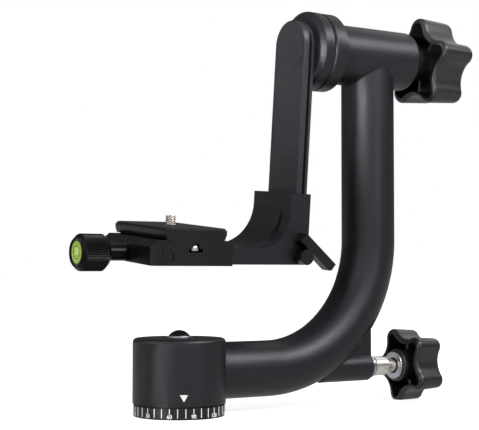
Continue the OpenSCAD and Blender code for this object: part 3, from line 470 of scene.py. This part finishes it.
def number_mesh(text):
    """A number in the built-in font, as a thin flat mesh."""
    curve = bpy.data.curves.new("number_" + text, "FONT")
    curve.body = text
    curve.align_x = "CENTER"
    curve.size = NUMBER_H / FONT_DIGIT_H
    curve.extrude = PAINT
    curve.offset = NUMBER_BOLD
    curve.resolution_u = 3
    holder = bpy.data.objects.new("number_" + text, curve)
    mesh = bpy.data.meshes.new_from_object(holder)
    bpy.data.objects.remove(holder)
    bpy.data.curves.remove(curve)
    return mesh


def dial_number(shape, angle, text):
    """Adds a number to the marks, bent round the dial."""
    digits = number_mesh(text)
    start = len(shape.verts)
    shape.from_mesh(digits)
    bpy.data.meshes.remove(digits)
    shape.verts.ensure_lookup_table()
    for vert in shape.verts[start:]:
        x, y, lift = vert.co
        vert.co = on_drum(DIAL_R + lift, angle + x / DIAL_R, NUMBER_Z0 + y)


def add_dial_ring():
    """Scale ring with a round lower edge and a step under the hub."""
    low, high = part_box("scale_ring")
    bottom, top = low.z, high.z
    step = top - SEAM_H
    section = [(bottom, DIAL_R - DIAL_WALL)]
    for i in range(DIAL_ROUND_STEPS + 1):
        a = TURN / 4 * i / DIAL_ROUND_STEPS
        section.append((bottom + DIAL_ROUND * (1 - math.cos(a)), DIAL_R - DIAL_ROUND * (1 - math.sin(a))))
    section += [(step - DIAL_EDGE, DIAL_R), (step, DIAL_R - DIAL_EDGE), (step, DIAL_R - SEAM_DEPTH),
                (top, DIAL_R - SEAM_DEPTH), (top, DIAL_R - DIAL_WALL)]
    add_tube("dial_ring", Matrix.Identity(4), section, "dial_coat", "base", ("scale_ring",))


def add_dial_marks():
    """White ticks and numbers round the dial."""
    shape = bmesh.new()
    half = TICK_W / 2 / DIAL_R
    top = TICK_Z[1]
    for label in range(0, 360, TICK_DEGREES):
        angle = math.radians(label) + DIAL_ZERO
        left, right = angle - half, angle + half
        numbered = label % NUMBER_DEGREES == 0
        low = SHORT_TICK_Z0 if numbered else TICK_Z[0]
        drum_patch(shape, DIAL_R, ((left, low), (right, low), (right, top), (left, top)))
        if numbered:
            dial_number(shape, angle, str(label))
    add_piece("dial_marks", shape, "white_paint", "base")


# Index mark on the hub
INDEX_ANGLE = math.radians(-114.8)
INDEX_HALF_W = 2.3 * MM
INDEX_TIP = 2.75 * MM
INDEX_TOP = 6.6 * MM
MERGE_GAP = 0.001 * MM


def add_index_mark():
    """White triangle on the hub, pointing at the dial."""
    radius = node_radius("hub_housing")
    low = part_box("hub_housing")[0].z
    half = INDEX_HALF_W / radius
    tip = (INDEX_ANGLE, low + INDEX_TIP)
    top = low + INDEX_TOP
    shape = bmesh.new()
    drum_patch(shape, radius, (tip, tip, (INDEX_ANGLE + half, top), (INDEX_ANGLE - half, top)))
    bmesh.ops.remove_doubles(shape, verts=shape.verts, dist=MERGE_GAP)
    add_piece("index_mark", shape, "white_paint", "arm")


# Clamp knob
KNOB_L = 18.5 * MM
KNOB_CHAMFER = 2.4 * MM
KNOB_EDGE = 0.3 * MM
NECK_R = 4.5 * MM
LEVEL_POCKET = 6.0 * MM
POCKET_GAP = 0.02 * MM
POCKET_CENTRE = 0.2
RIDGES = 64
RIDGE_H = 0.38 * MM
RIDGE_SHAPE = (0.0, -0.15, -0.7, -1.0, -0.7, -0.15)
GRIP = (KNOB_CHAMFER + KNOB_EDGE, KNOB_L - KNOB_CHAMFER - KNOB_EDGE)
# Rounded stretches as (place, radius) in millimetres. Places count from the front or from the back at KNOB_L,
# and radii from the pocket's wall, the bevel's inner edge or the neck
POCKET_MOUTH = ((0.5, 0), (0.1, 0.35), (0, 0.5))
FRONT_RIM = ((0, -0.2), (0.15, 0.1), (1.2, 1.05), (2.16, 2.05))
BACK_RIM = ((1.2, 0.9), (0.15, 0), (0, -0.3))
NECK_FILLET = ((0, 0.8), (0.25, 0.25), (0.8, 0))


def knurling(angle, place):
    """Depth of the knurling, which only the rings at both ends of the grip have."""
    if place not in GRIP:
        return 0.0
    count = len(RIDGE_SHAPE)
    return RIDGE_H * RIDGE_SHAPE[round(angle / TURN * RIDGES * count) % count]


def add_clamp_knob():
    """Knurled knob with bevelled ends, a pocket for the level and a neck."""
    low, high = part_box("clamp_knob")
    radius = node_radius("clamp_knob")
    pocket_r = node_radius("level_vial") + POCKET_GAP
    at = axis_frame(Vector((low.x, (low.y + high.y) / 2, (low.z + high.z) / 2)), ALONG_X, SWING_UP)
    rim = radius - KNOB_CHAMFER
    end = high.x - low.x
    rings = [(LEVEL_POCKET, pocket_r * POCKET_CENTRE), (LEVEL_POCKET, pocket_r)]
    rings += [(place * MM, pocket_r + out * MM) for place, out in POCKET_MOUTH]
    rings += [(place * MM, rim + out * MM) for place, out in FRONT_RIM]
    rings += [(KNOB_CHAMFER, radius - KNOB_EDGE), (GRIP[0], radius)]
    rings += [(GRIP[1], radius), (KNOB_L - KNOB_CHAMFER, radius - KNOB_EDGE)]
    rings += [(KNOB_L - place * MM, rim + out * MM) for place, out in BACK_RIM]
    rings += [(KNOB_L + place * MM, NECK_R + out * MM) for place, out in NECK_FILLET]
    rings += [(end - KNOB_EDGE, NECK_R), (end, NECK_R - KNOB_EDGE)]
    shape = bmesh.new()
    lathe(shape, at, rings, steps=RIDGES * len(RIDGE_SHAPE), relief=knurling)
    add_piece("knurled_knob", shape, "knurled_coat", "clamp_knob", ("clamp_knob",))


# Bubble level in the clamp knob's end
LEVEL_RECESS = 0.35 * MM
LEVEL_EDGE = 0.3 * MM
LEVEL_SHOULDER = (0.5 * MM, 0.1 * MM)
LEVEL_SHOULDER_IN = 0.25 * MM
# Rise in millimetres and share of the radius
LEVEL_CROWN = ((0, 0.9), (0.12, 0.6), (0.2, 0.25))
# Radius as a share of the level's own, half width, base over the face and height
LEVEL_RINGS = (
    {"name": "level_bezel", "radius": 0.9, "half": 0.45 * MM, "base": 0.02 * MM, "height": 0.16 * MM},
    {"name": "level_ring", "radius": 0.47, "half": 0.16 * MM, "base": 0.16 * MM, "height": 0.10 * MM},
)
LEVEL_RING_SINK = 0.2 * MM
# Shares of a ring's height and of its half width
LEVEL_RING_SECTION = ((0.6, -1), (1, -0.5), (1, 0.5), (0.6, 1))
BUBBLE_AT = (0.7 * MM, -0.5 * MM)
BUBBLE_STEPS = 40
# Rise and radius in millimetres
BUBBLE_CROWN = ((0.05, 2.5), (0.3, 2.4), (0.45, 1.9), (0.52, 0.8))


def add_level():
    """Round bubble level: green body, dark bezel, printed ring and bubble."""
    low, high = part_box("level_vial")
    radius = node_radius("level_vial")
    face = high.x - low.x - LEVEL_RECESS
    at = axis_frame(Vector((high.x, (low.y + high.y) / 2, (low.z + high.z) / 2)), -ALONG_X, SWING_UP)
    rings = [(0, radius - LEVEL_EDGE), (LEVEL_EDGE, radius), (face - LEVEL_SHOULDER[0], radius),
             (face - LEVEL_SHOULDER[1], radius - LEVEL_SHOULDER_IN)]
    rings += [(face + rise * MM, radius * share) for rise, share in LEVEL_CROWN]
    body = bmesh.new()
    lathe(body, at, rings)
    add_piece("level_body", body, "level_green", "clamp_knob", ("level_vial",))
    for ring in LEVEL_RINGS:
        ring_r, half = radius * ring["radius"], ring["half"]
        base = face + ring["base"]
        section = [(base + ring["height"] * up, ring_r + half * across) for up, across in LEVEL_RING_SECTION]
        section.insert(0, (base - LEVEL_RING_SINK, ring_r - half))
        section.append((base - LEVEL_RING_SINK, ring_r + half))
        add_tube(ring["name"], at, section, "level_dark", "clamp_knob", steps=LATHE_STEPS)
    bubble = bmesh.new()
    centre = at @ Matrix.Translation(Vector((*BUBBLE_AT, face)))
    lathe(bubble, centre, [(rise * MM, out * MM) for rise, out in BUBBLE_CROWN], steps=BUBBLE_STEPS)
    add_piece("level_bubble", bubble, "level_bubble", "clamp_knob")


# Star knobs with rounded lobes, hollow at the back
STAR_LOBES = 5
STAR_ARC_STEPS = 14
STAR_DRAFT = math.radians(3.5)
STAR_WALL = 3.1 * MM
STAR_FACE = 5.0 * MM
STAR_DISH = 0.8 * MM
STAR_DISH_PART = 0.45
STAR_DISH_FLOOR = 0.8 * MM
# Radius beyond the dish's own and depth below the face, in millimetres
STAR_DISH_EDGE = ((0.3, 0), (0, 0.1), (-0.5, 0.7))
STAR_BACK_ROUND = 2.5 * MM
STAR_INNER_ROUND = STAR_WALL - STAR_BACK_ROUND
STAR_FILLET = 1.0 * MM
STAR_OVERLAP = 1.0 * MM
BORE_EDGE = 0.3 * MM
RIB_HALF = 0.9 * MM
RIB_BACK = 4.5 * MM
RIB_EDGE_W = 0.4 * MM
RIB_EDGE_H = 0.5 * MM
ROUND_STEPS = 8
STAR_KNOBS = (
    {"node": "pan_knob", "joint": "pan_knob_turn", "turn": math.radians(12.5), "radius": 23.9 * MM,
     "length": 20.4 * MM, "proud": 1.4 * MM, "lobe": 6.1 * MM, "valley": 11.25 * MM, "front": 3.3 * MM,
     "core": 10.2 * MM, "core_out": 0.9 * MM, "core_round": 1.8 * MM, "bore": 4.4 * MM},
    {"node": "tilt_knob", "joint": "tilt_knob_turn", "turn": math.radians(42), "radius": 29.4 * MM,
     "length": 27.5 * MM, "proud": 2.2 * MM, "lobe": 7.6 * MM, "valley": 12.85 * MM, "front": 5.0 * MM,
     "core": 11.0 * MM, "core_out": 0, "core_round": 0.6 * MM, "bore": 8.1 * MM},
)


def polar(radius, angle):
    """A flat point at a radius and an angle."""
    return Vector((radius * math.cos(angle), radius * math.sin(angle)))


def valley_distance(knob):
    """Distance from a star knob's axis to the centres of its round valleys."""
    half = math.pi / STAR_LOBES
    lobe_at = knob["radius"] - knob["lobe"]
    centres = knob["lobe"] + knob["valley"]
    return lobe_at * math.cos(half) + math.sqrt(centres ** 2 - (lobe_at * math.sin(half)) ** 2)


def star_ring(knob, inset):
    """Outline of a star knob as flat points, drawn in by an inset: lobe arcs and valley arcs in turn."""
    half = math.pi / STAR_LOBES
    lobe_at = knob["radius"] - knob["lobe"]
    lobe_r = knob["lobe"] - inset
    valley_at = valley_distance(knob)
    valley_r = knob["valley"] + inset
    lobe_half = math.atan2(valley_at * math.sin(half), valley_at * math.cos(half) - lobe_at)
    valley_half = lobe_half - half
    sweep = [2 * k / STAR_ARC_STEPS - 1 for k in range(STAR_ARC_STEPS)]
    points = []
    for i in range(STAR_LOBES):
        turn = knob["turn"] + 2 * half * i
        points += [polar(lobe_at, turn) + polar(lobe_r, turn + lobe_half * s) for s in sweep]
        turn += half
        points += [polar(valley_at, turn) - polar(valley_r, turn - valley_half * s) for s in sweep]
    return points


def arc(centre, radius, start, end):
    """Points (inset, height) of an arc. Angle 0 points away from the axis, and 90 degrees to the front."""
    angles = [math.radians(start + (end - start) * i / ROUND_STEPS) for i in range(ROUND_STEPS + 1)]
    return [(centre[0] - radius * math.cos(a), centre[1] + radius * math.sin(a)) for a in angles]


def star_shell(shape, knob, at):
    """The knob's shell: from the floor of the hollow round the rim to the dish in the front face."""
    length, front = knob["length"], knob["front"]
    floor = length - STAR_FACE
    draft = math.degrees(STAR_DRAFT)
    side_end = length - front + front * math.sin(STAR_DRAFT)
    front_at = (side_end - STAR_BACK_ROUND) * math.tan(STAR_DRAFT) + front * math.cos(STAR_DRAFT)
    dish = knob["radius"] * STAR_DISH_PART
    profile = [(STAR_WALL + STAR_FILLET, floor), (STAR_WALL, floor - STAR_FILLET)]
    profile += arc((STAR_BACK_ROUND, STAR_INNER_ROUND), STAR_INNER_ROUND, 180, 270)
    profile += arc((STAR_BACK_ROUND, STAR_BACK_ROUND), STAR_BACK_ROUND, -90, draft)[1:]
    profile += arc((front_at, length - front), front, draft, 90)
    dish_rings = [(dish + out * MM, length - depth * MM) for out, depth in STAR_DISH_EDGE]
    dish_rings += [(dish - STAR_DISH_FLOOR, length - STAR_DISH), (dish / 4, length - STAR_DISH)]
    turns = [math.atan2(p.y, p.x) for p in star_ring(knob, front_at)]
    rings = [([polar(knob["core"] / 2, a) for a in turns], floor)]
    rings += [(star_ring(knob, inset), height) for inset, height in profile]
    rings += [([polar(radius, a) for a in turns], height) for radius, height in dish_rings]
    rows = [[shape.verts.new(at @ Vector((p.x, p.y, height))) for p in points] for points, height in rings]
    skin(shape, rows)


def star_ribs(shape, knob, at):
    """Ribs in the hollow, from the core to the wall of each valley."""
    foot = knob["length"] - STAR_FACE + STAR_OVERLAP
    wall = valley_distance(knob) - knob["valley"] - STAR_WALL
    reach = (knob["core"] - STAR_OVERLAP, wall + STAR_OVERLAP)
    crest = RIB_HALF - RIB_EDGE_W
    section = ((-RIB_HALF, foot), (-RIB_HALF, RIB_BACK + RIB_EDGE_H), (-crest, RIB_BACK),
               (crest, RIB_BACK), (RIB_HALF, RIB_BACK + RIB_EDGE_H), (RIB_HALF, foot))
    for i in range(STAR_LOBES):
        turn = at @ Matrix.Rotation(knob["turn"] + (2 * i + 1) * math.pi / STAR_LOBES, 4, "Z")
        rows = [[shape.verts.new(turn @ Vector((out, *point))) for point in section] for out in reach]
        skin(shape, rows)


def add_star_knob(knob):
    """Star knob with its shell, its core boss and its ribs."""
    name = knob["node"]
    low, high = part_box(name)
    origin = Vector(joints[knob["joint"]]["pos_m"])
    origin.x = high.x + knob["proud"] - knob["length"]
    at = axis_frame(origin, ALONG_X, -UPRIGHT)
    back = low.x - knob["core_out"] - origin.x
    floor = knob["length"] - STAR_FACE
    core, bore, edge = knob["core"], knob["bore"], knob["core_round"]
    rings = [(floor - STAR_OVERLAP, bore), (back + BORE_EDGE, bore), (back, bore + BORE_EDGE)]
    rings += [(height, core - inset) for inset, height in arc((edge, back + edge), edge, -90, 0)]
    rings.append((floor + STAR_OVERLAP, core))
    shape = bmesh.new()
    star_shell(shape, knob, at)
    star_ribs(shape, knob, at)
    lathe(shape, at, rings)
    add_piece(name + "_moulding", shape, "knob_plastic", name, (name,))


# Pan lock: a stepped shaft in a gland, and a washer at the knob
LOCK_AXIS = axis_frame(Vector((0, 0, joints["pan_knob_turn"]["pos_m"][2])), ALONG_X, UPRIGHT)
GLAND_R = 6.9 * MM
GLAND_PROUD = 2.8 * MM
GLAND_SINK = 1.0 * MM
GLAND_GAP = 0.1 * MM
SHAFT_R = 6.0 * MM
SHAFT_EDGE = 0.35 * MM
SHAFT_GROOVE = 0.9 * MM
SHAFT_INNER_R = 4.6 * MM
SHAFT_INNER_EDGE = 0.4 * MM
SHAFT_END = 149.4 * MM
SHAFT_END_EDGE = 0.5 * MM
SHAFT_NECK_R = 4.0 * MM
SHAFT_NECK_EDGE = 0.3 * MM
WASHER_BORE = 4.9 * MM
WASHER_BORE_EDGE = 0.15 * MM
WASHER_T = 0.9 * MM
WASHER_INSET = 1.5 * MM
# Rounded outer edges as (place, radius) in millimetres from the sharp corner
GLAND_EDGE = ((0, -0.5), (-0.15, -0.15), (-0.5, 0))
WASHER_EDGE = ((0, -0.3), (0.1, -0.08), (0.3, 0))


def add_lock_gland(back, end):
    """Steel ring in the arm's boss, which the shaft passes."""
    bore = SHAFT_INNER_R + GLAND_GAP
    section = [(back - GLAND_SINK, bore), (end, bore)]
    section += [(end + place * MM, GLAND_R + out * MM) for place, out in GLAND_EDGE]
    section.append((back - GLAND_SINK, GLAND_R))
    add_tube("lock_gland", LOCK_AXIS, section, "steel", "arm", ("pan_lock_gland",))


def add_lock_shaft(shoulder):
    """Bright shaft: thin in the gland, thick from its shoulder on, with a neck in the knob."""
    low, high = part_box("pan_lock_shaft")
    rings = [
        (low.x, SHAFT_INNER_R - SHAFT_INNER_EDGE),
        (low.x + SHAFT_INNER_EDGE, SHAFT_INNER_R),
        (shoulder, SHAFT_INNER_R),
        (shoulder, SHAFT_R - SHAFT_EDGE),
        (shoulder + SHAFT_EDGE, SHAFT_R),
        (SHAFT_END - SHAFT_END_EDGE, SHAFT_R),
        (SHAFT_END, SHAFT_R - SHAFT_END_EDGE),
        (SHAFT_END, SHAFT_NECK_R + SHAFT_NECK_EDGE),
        (SHAFT_END + SHAFT_NECK_EDGE, SHAFT_NECK_R),
        (high.x - SHAFT_NECK_EDGE, SHAFT_NECK_R),
        (high.x, SHAFT_NECK_R - SHAFT_NECK_EDGE),
    ]
    shape = bmesh.new()
    lathe(shape, LOCK_AXIS, rings)
    add_piece("lock_shaft", shape, "chrome", "pan_knob", ("pan_lock_shaft",))


def add_lock_washer():
    """Zinc washer at the knob's core, wider than the shaft's neck."""
    low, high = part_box("pan_knob_washer")
    radius = (high.z - low.z) / 2
    back = high.x - WASHER_INSET - WASHER_T / 2
    front = back + WASHER_T
    section = [(back + WASHER_BORE_EDGE, WASHER_BORE), (back, WASHER_BORE + WASHER_BORE_EDGE)]
    section += [(back + place * MM, radius + out * MM) for place, out in WASHER_EDGE]
    section += [(front, radius), (front, WASHER_BORE)]
    add_tube("open_washer", LOCK_AXIS, section, "zinc", "pan_knob", ("pan_knob_washer",))


def add_pan_lock():
    """The visible end of the pan lock, from the arm's boss to the knob."""
    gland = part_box("pan_lock_gland")[0].x
    gland_end = gland + GLAND_PROUD
    add_lock_gland(gland, gland_end)
    add_lock_shaft(gland_end + SHAFT_GROOVE)
    add_lock_washer()


# Camera screw with its quarter inch thread. Places count from the top of the pad
SCREW_R = 3.175 * MM
SCREW_PITCH = 1.27 * MM
SCREW_ROOT = 0.69 * MM
SCREW_L = 5.5 * MM
SCREW_LEAD = 0.9 * MM
SCREW_LEAD_IN = 0.6 * MM
SCREW_NECK_R = 2.5 * MM
SCREW_NECK_TOP = -0.05 * MM
SCREW_HEAD_R = 6.35 * MM
SCREW_HEAD_Z = (-10.35 * MM, -7.15 * MM)
SCREW_HEAD_EDGE = 0.4 * MM
SCREW_STEPS = 48
RINGS_PER_PITCH = 8
THREAD_SLOPE = 2.6
THREAD_FLAT = 0.15
SCREW_AXIS = Vector(mounts["camera_screw"]["axis"])
SCREW_FOOT = Vector(mounts["camera_screw"]["pos_m"]) - SCREW_AXIS * SCREW_L / 2


def screw_lead(place):
    """How far a place is along the screw's tapered end, from 0 to 1."""
    return max(0.0, (place - SCREW_L + SCREW_LEAD) / SCREW_LEAD)


def screw_thread(angle, place):
    """Depth of the thread, which starts at the pad and fades in the tapered end."""
    if place < 0:
        return 0.0
    wave = (place / SCREW_PITCH - angle / TURN) % 1.0
    depth = min(1.0, max(0.0, abs(wave - 0.5) * THREAD_SLOPE - THREAD_FLAT))
    return -SCREW_ROOT * depth * (1 - screw_lead(place))


def add_camera_screw():
    """Captive screw: a head under the plate, a neck and a quarter inch thread over the pad."""
    bottom, top = SCREW_HEAD_Z
    rim = SCREW_HEAD_R - SCREW_HEAD_EDGE
    rings = [(bottom, rim), (bottom + SCREW_HEAD_EDGE, SCREW_HEAD_R), (top - SCREW_HEAD_EDGE, SCREW_HEAD_R),
             (top, rim), (top, SCREW_NECK_R), (SCREW_NECK_TOP, SCREW_NECK_R)]
    count = round(SCREW_L / SCREW_PITCH * RINGS_PER_PITCH)
    places = [SCREW_L * i / count for i in range(count + 1)]
    rings += [(place, SCREW_R - SCREW_LEAD_IN * screw_lead(place)) for place in places]
    shape = bmesh.new()
    lathe(shape, axis_frame(SCREW_FOOT, SCREW_AXIS, ALONG_X), rings, steps=SCREW_STEPS, relief=screw_thread)
    add_piece("camera_thread", shape, "chrome", "camera_screw", ("camera_screw",))


# Ribs on the plate's pad, lower at their ends
PAD_HALF_W = 18.3 * MM
PAD_HALF_L = 28.5 * MM
PAD_HOLE_R = 5.2 * MM
PAD_RIB_PITCH = 1.9 * MM
PAD_RIB_END = 0.3 * MM
PAD_RIB_END_H = 0.4
# Place across the rib and height over the pad, in millimetres
PAD_RIB_SECTION = ((-0.44, -0.1), (-0.336, 0.16), (-0.16, 0.24), (0.16, 0.24), (0.336, 0.16), (0.44, -0.1))


def pad_rib(shape, at, x0, x1, y):
    """One rib across the pad, from x0 to x1."""
    rows = []
    for x, share in ((x0, PAD_RIB_END_H), (x0 + PAD_RIB_END, 1), (x1 - PAD_RIB_END, 1), (x1, PAD_RIB_END_H)):
        row = [Vector((x, y + across * MM, min(up, share * up) * MM)) for across, up in PAD_RIB_SECTION]
        rows.append([shape.verts.new(at @ point) for point in row])
    skin(shape, rows)


def add_pad_ribs():
    """Low rubber ribs across the pad, left out where the camera screw passes."""
    turn = Matrix((ALONG_X, SWING_BACK, SWING_UP)).transposed().to_4x4()
    at = Matrix.Translation(SCREW_FOOT) @ turn
    shape = bmesh.new()
    count = int(PAD_HALF_L / PAD_RIB_PITCH)
    for i in range(-count, count + 1):
        y = i * PAD_RIB_PITCH
        spans = [(-PAD_HALF_W, PAD_HALF_W)]
        if abs(y) < PAD_HOLE_R:
            gap = math.sqrt(PAD_HOLE_R ** 2 - y ** 2)
            spans = [(-PAD_HALF_W, -gap), (gap, PAD_HALF_W)]
        for x0, x1 in spans:
            pad_rib(shape, at, x0, x1, y)
    add_piece("pad_ribs", shape, "pad_rubber", "plate")


# Thread in the tripod socket. It fades in and out at its ends
SOCKET_PITCH = 25.4 / 16 * MM
SOCKET_MARGIN = 0.4 * MM
SOCKET_STEPS = 40
SOCKET_FADE_STEPS = 20
SOCKET_RIDGE = 0.55 * MM
SOCKET_RIDGE_SINK = 0.05 * MM
SOCKET_RIDGE_HALF = 0.5 * MM
SOCKET_CREST_HALF = 0.1 * MM


def add_socket_thread():
    """Thread ridge inside the tripod socket."""
    dims = mounts["tripod_socket"]["dims"]
    bore = dims["r_mm"] * MM
    depth = dims["length_mm"] * MM - 2 * SOCKET_MARGIN
    total = int(depth / SOCKET_PITCH * SOCKET_STEPS)
    foot = bore + SOCKET_RIDGE_SINK
    shape = bmesh.new()
    rows = []
    for i in range(total + 1):
        angle = TURN * i / SOCKET_STEPS
        fade = min(1.0, i / SOCKET_FADE_STEPS, (total - i) / SOCKET_FADE_STEPS)
        crest = bore - SOCKET_RIDGE * fade
        z = SOCKET_MARGIN + SOCKET_PITCH * i / SOCKET_STEPS
        section = ((foot, -SOCKET_RIDGE_HALF), (crest, -SOCKET_CREST_HALF),
                   (crest, SOCKET_CREST_HALF), (foot, SOCKET_RIDGE_HALF))
        rows.append([shape.verts.new(on_drum(out, angle, z + side)) for out, side in section])
    skin(shape, rows)
    add_piece("socket_thread", shape, "steel", "base")


add_dial_ring()
add_dial_marks()
add_index_mark()
add_clamp_knob()
add_level()
for star in STAR_KNOBS:
    add_star_knob(star)
add_pan_lock()
add_camera_screw()
add_pad_ribs()
add_socket_thread()


# Studio: a white floor, soft lights on the part's middle and narrow beams on single nodes
FLOOR_SIZE = 30.0
FLOOR_GREY = (0.75, 0.75, 0.75)
FLOOR_WHITE = (0.78, 1.05)
FLOOR_FADE = (0.15, 0.8)
BOUNCE = 0.55
BOUNCE_Z = -1 * MM
AMBIENT = 0.1
CLIP_START = 10 * MM
# Name, azimuth and elevation in degrees, distance and size in metres, power in watts, and a beam's node
STUDIO_LIGHTS = (
    ("key_box", 30, 40, 1.2, (0.9, 0.35), 9.6),
    ("key_strip", 8, 42, 1.2, (1.2, 0.3), 2.4),
    ("left_box", -68, 28, 1.2, (0.3, 0.9), 2.0),
    ("left_card", -112, 30, 1.2, (0.6, 0.9), 3.0),
    ("front_card", -33, 12, 1.4, (0.9, 0.9), 2.8),
    ("right_box", 8, 18, 1.3, (0.3, 0.9), 2.4),
    ("right_card", 105, 35, 1.2, (0.8, 0.6), 1.8),
    ("top_card", -33, 84, 1.2, (1.2, 0.9), 1.7),
)
BEAM_LIGHTS = (
    ("tube_grid", -62, -2, 1.2, (0.2, 0.05), 0.05, "tilt_bush_right"),
    ("hub_grid", -75, 0, 1.2, (0.1, 0.04), 0.006, "hub_housing"),
)
BEAM_SPREAD = math.radians(8)


def box_middle(box):
    """Middle of a box's lowest and highest corners."""
    return (box[0] + box[1]) / 2


def add_sheet(name, height):
    """A large level sheet with a glowing material. Returns the sheet, its material and its shader."""
    mesh = bpy.data.meshes.new(name)
    shape = bmesh.new()
    bmesh.ops.create_grid(shape, x_segments=2, y_segments=2, size=FLOOR_SIZE / 2)
    shape.to_mesh(mesh)
    shape.free()
    sheet = bpy.data.objects.new(name, mesh)
    sheet.location.z = height
    bpy.context.scene.collection.objects.link(sheet)
    material, shader = new_material(name, FLOOR_GREY, roughness=0.95)
    shader.inputs["Specular IOR Level"].default_value = 0.0
    shader.inputs["Emission Color"].default_value = (1, 1, 1, 1)
    mesh.materials.append(material)
    return sheet, material, shader


def add_floor():
    """A pale floor that fades to the background's white, over a grey sheet that only reflections see."""
    floor, material, shader = add_sheet("floor", 0.0)
    tree = material.node_tree
    place = tree.nodes.new("ShaderNodeTexCoord")
    away = tree.nodes.new("ShaderNodeVectorMath")
    away.operation = "LENGTH"
    glow = tree.nodes.new("ShaderNodeMapRange")
    glow.inputs["From Min"].default_value, glow.inputs["From Max"].default_value = FLOOR_FADE
    glow.inputs["To Min"].default_value, glow.inputs["To Max"].default_value = FLOOR_WHITE
    tree.links.new(place.outputs["Object"], away.inputs[0])
    tree.links.new(away.outputs["Value"], glow.inputs["Value"])
    tree.links.new(glow.outputs["Result"], shader.inputs["Emission Strength"])
    floor.visible_diffuse = False
    floor.visible_glossy = False
    bounce, _, shader = add_sheet("bounce", BOUNCE_Z)
    shader.inputs["Base Color"].default_value = (0, 0, 0, 1)
    shader.inputs["Emission Strength"].default_value = BOUNCE
    bounce.visible_camera = False
    bounce.visible_diffuse = False
    bounce.visible_shadow = False


def add_light(name, azimuth, elevation, distance, size, energy, target):
    """A rectangular soft light, placed round the target as the views are, and facing it. Returns it."""
    a = math.radians(azimuth)
    e = math.radians(elevation)
    away = Vector((math.sin(a) * math.cos(e), -math.cos(a) * math.cos(e), math.sin(e)))
    data = bpy.data.lights.new(name, "AREA")
    data.shape = "RECTANGLE"
    data.size = size[0]
    data.size_y = size[1]
    data.energy = energy
    light = bpy.data.objects.new(name, data)
    light.location = target + away * distance
    light.rotation_euler = (-away).to_track_quat("-Z", "Y").to_euler()
    bpy.context.scene.collection.objects.link(light)
    return light


def add_world():
    """White to the camera, and a dim grey to everything else."""
    world = bpy.data.worlds.new("studio")
    bpy.context.scene.world = world
    world.use_nodes = True
    tree = world.node_tree
    shade = tree.nodes["Background"]
    shade.inputs["Color"].default_value = (1, 1, 1, 1)
    path = tree.nodes.new("ShaderNodeLightPath")
    strength = tree.nodes.new("ShaderNodeMapRange")
    strength.inputs["To Min"].default_value = AMBIENT
    strength.inputs["To Max"].default_value = 1.0
    tree.links.new(path.outputs["Is Camera Ray"], strength.inputs["Value"])
    tree.links.new(strength.outputs["Result"], shade.inputs["Strength"])


def add_camera():
    """The photograph's camera, turned up a little so that the horizon falls on its row."""
    forward = Vector((-math.sin(VIEW_AZIMUTH), math.cos(VIEW_AZIMUTH), 0))
    right = Vector((math.cos(VIEW_AZIMUTH), math.sin(VIEW_AZIMUTH), 0))
    pitch = math.atan((HORIZON_ROW - PHOTO_H / 2) / FOCAL_PIXELS)
    look = forward * math.cos(pitch) + UPRIGHT * math.sin(pitch)
    data = bpy.data.cameras.new("photo_camera")
    data.sensor_width = SENSOR_W
    data.lens = FOCAL_PIXELS / PHOTO_W * SENSOR_W
    data.clip_start = CLIP_START
    camera = bpy.data.objects.new("photo_camera", data)
    camera.location = right * VIEW_SIDE - forward * VIEW_DISTANCE + UPRIGHT * EYE_HEIGHT
    camera.rotation_euler = look.to_track_quat("-Z", "Y").to_euler()
    bpy.context.scene.collection.objects.link(camera)
    bpy.context.scene.camera = camera


add_floor()
add_world()
for row in STUDIO_LIGHTS:
    add_light(*row, box_middle(cad_box))
for *row, target_node in BEAM_LIGHTS:
    beam = add_light(*row, box_middle(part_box(target_node)))
    beam.data.spread = BEAM_SPREAD
add_camera()
bpy.context.scene.view_settings.view_transform = "Standard"
